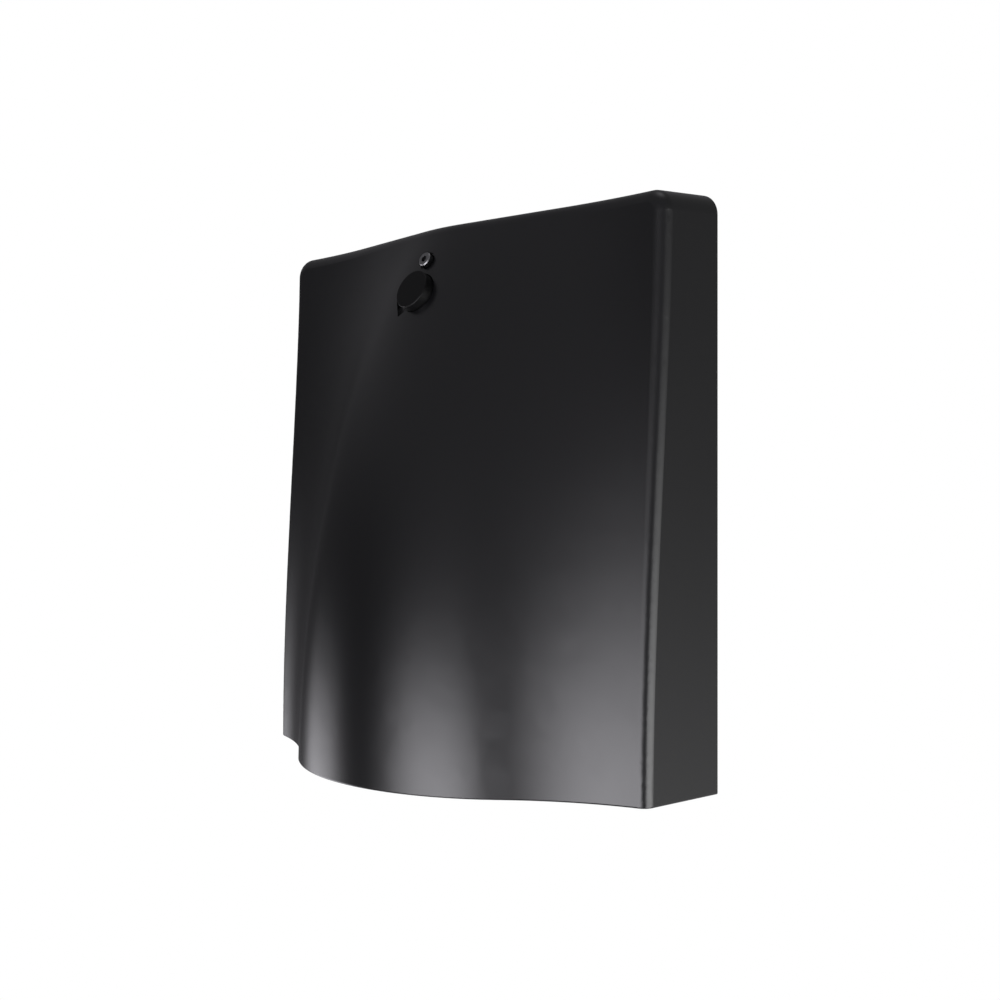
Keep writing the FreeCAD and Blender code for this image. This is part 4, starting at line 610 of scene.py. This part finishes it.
profile = [(neck, shoulder)] + slope((neck + wall, shoulder), (waist - wall, ledge))
profile += [(waist - wall, bottom), (flange, bottom), (flange, ledge)] + slope((waist, ledge), (brim, shoulder))
profile += [(brim, roof), (neck, roof), (neck, shoulder)]
mesh = bmesh.new()
lathe(mesh, bootSleeve["surface"], outward, [(radius * mm, height * mm) for radius, height in profile],
      bootSleeve["sides"])
bmesh.ops.remove_doubles(mesh, verts=mesh.verts, dist=bootSleeve["weld"] * mm)
boot = addPiece("bootSleeve", mesh, sealRubber, None)
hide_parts("button_boot")
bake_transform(boot)

# camera of the photo: level, a little over 44 degrees to the right of the front
cameraData = bpy.data.cameras.new("photoCamera")
cameraData.lens = 47.82
cameraData.sensor_width = 36
cameraData.shift_x = -0.0005
cameraData.shift_y = 0.0008
cameraData.clip_start = 0.01
cameraData.clip_end = 20
camera = bpy.data.objects.new("photoCamera", cameraData)
camera.location = (0.3587, -0.36974, -0.00247)
camera.rotation_euler = (math.radians(90), 0, math.radians(44.374))
scene.collection.objects.link(camera)
scene.camera = camera

# light: a dark studio with low glowing panels, drawn in the world by direction
world = bpy.data.worlds.new("studio")
scene.world = world
world.use_nodes = True
tree = world.node_tree
tree.nodes.clear()


def number(operation, first, second=None):
    return mathOf(tree, operation, first, second)


direction = tree.nodes.new("ShaderNodeTexCoord").outputs["Generated"]
split = tree.nodes.new("ShaderNodeSeparateXYZ")
tree.links.new(direction, split.inputs[0])
azimuth = number("DEGREES", number("ARCTAN2", split.outputs["X"], number("MULTIPLY", split.outputs["Y"], -1)))
elevation = number("DEGREES", number("ARCSINE", split.outputs["Z"]))


# angles are in degrees: one at the middle, falling off beyond the spread, the steeper the higher the power
def bell(angle, middle, spread, power):
    away = number("ABSOLUTE", number("DIVIDE", number("SUBTRACT", angle, middle), spread))
    return number("EXPONENT", number("MULTIPLY", number("POWER", away, power), -1))


def patch(panel):
    sideways = bell(azimuth, panel["turn"], panel["wide"], panel["power"])
    upright = bell(elevation, panel["rise"], panel["tall"], panel["fall"])
    return number("MULTIPLY", sideways, upright)


panels = [
    {"turn": 5, "wide": 23, "power": 3, "rise": -21.5, "tall": 20, "fall": 4, "strength": 5.1},  # low front panel
    {"turn": -76, "wide": 17, "power": 4, "rise": -24, "tall": 17, "fall": 4, "strength": 3.3},  # low left panel
    {"turn": -128, "wide": 14, "power": 2, "rise": -30, "tall": 15, "fall": 3, "strength": 1.6},  # left rim glow
    {"turn": 92, "wide": 28, "power": 6, "rise": -26, "tall": 24, "fall": 3, "strength": 4.6},  # right panel
    {"turn": 140, "wide": 22, "power": 2, "rise": -24, "tall": 18, "fall": 3, "strength": 0.48},  # side glow
]
topGlow = {"rise": 90, "tall": 15, "fall": 2, "strength": 0.8}
backWhite = {"turn": 0, "wide": 165, "power": 30, "rise": -20, "tall": 25, "fall": 4}  # beyond that width
leftFlag = {"turn": -80, "wide": 60, "power": 4, "rise": -21, "tall": 39, "fall": 7, "dim": 0.8}
rightFlag = {"turn": 140, "wide": 60, "power": 4, "dim": 0.12}
roomLight = 0.178
coolToNeutral = {"turn": 140, "wide": 75, "power": 6, "cool": (0.965, 0.95, 1.0, 1),
                 "neutral": (0.97, 0.97, 0.975, 1)}
glow = None
for panel in panels:
    spot = number("MULTIPLY", patch(panel), panel["strength"])
    glow = spot if glow is None else number("ADD", glow, spot)
overhead = bell(elevation, topGlow["rise"], topGlow["tall"], topGlow["fall"])
overhead = number("MULTIPLY", overhead, topGlow["strength"])
ahead = bell(azimuth, backWhite["turn"], backWhite["wide"], backWhite["power"])
lowBand = bell(elevation, backWhite["rise"], backWhite["tall"], backWhite["fall"])
behind = number("MULTIPLY", number("SUBTRACT", 1, ahead), lowBand)
dimLeft = number("SUBTRACT", 1, number("MULTIPLY", patch(leftFlag), leftFlag["dim"]))
shaded = bell(azimuth, rightFlag["turn"], rightFlag["wide"], rightFlag["power"])
dimRight = number("SUBTRACT", 1, number("MULTIPLY", shaded, rightFlag["dim"]))
ambient = number("MULTIPLY", number("MULTIPLY", dimLeft, dimRight), roomLight)
glow = number("ADD", number("ADD", glow, overhead), number("ADD", behind, ambient))
studio = tree.nodes.new("ShaderNodeBackground")
tint = tree.nodes.new("ShaderNodeMix")  # cool light in front, neutral at the right
tint.data_type = "RGBA"
tint.inputs["A"].default_value = coolToNeutral["cool"]
tint.inputs["B"].default_value = coolToNeutral["neutral"]
warming = bell(azimuth, coolToNeutral["turn"], coolToNeutral["wide"], coolToNeutral["power"])
tree.links.new(warming, tint.inputs["Factor"])
tree.links.new(tint.outputs["Result"], studio.inputs["Color"])
tree.links.new(glow, studio.inputs["Strength"])
paper = tree.nodes.new("ShaderNodeBackground")
paper.inputs["Color"].default_value = (1, 1, 1, 1)
path = tree.nodes.new("ShaderNodeLightPath")
seen = number("MAXIMUM", path.outputs["Is Camera Ray"], path.outputs["Is Transmission Ray"])
seen = number("MAXIMUM", seen, number("MULTIPLY", path.outputs["Is Glossy Ray"], behind))
mix = tree.nodes.new("ShaderNodeMixShader")
tree.links.new(seen, mix.inputs[0])
tree.links.new(studio.outputs[0], mix.inputs[1])
tree.links.new(paper.outputs[0], mix.inputs[2])
output = tree.nodes.new("ShaderNodeOutputWorld")
tree.links.new(mix.outputs[0], output.inputs["Surface"])
print("studio lit", len(panels))
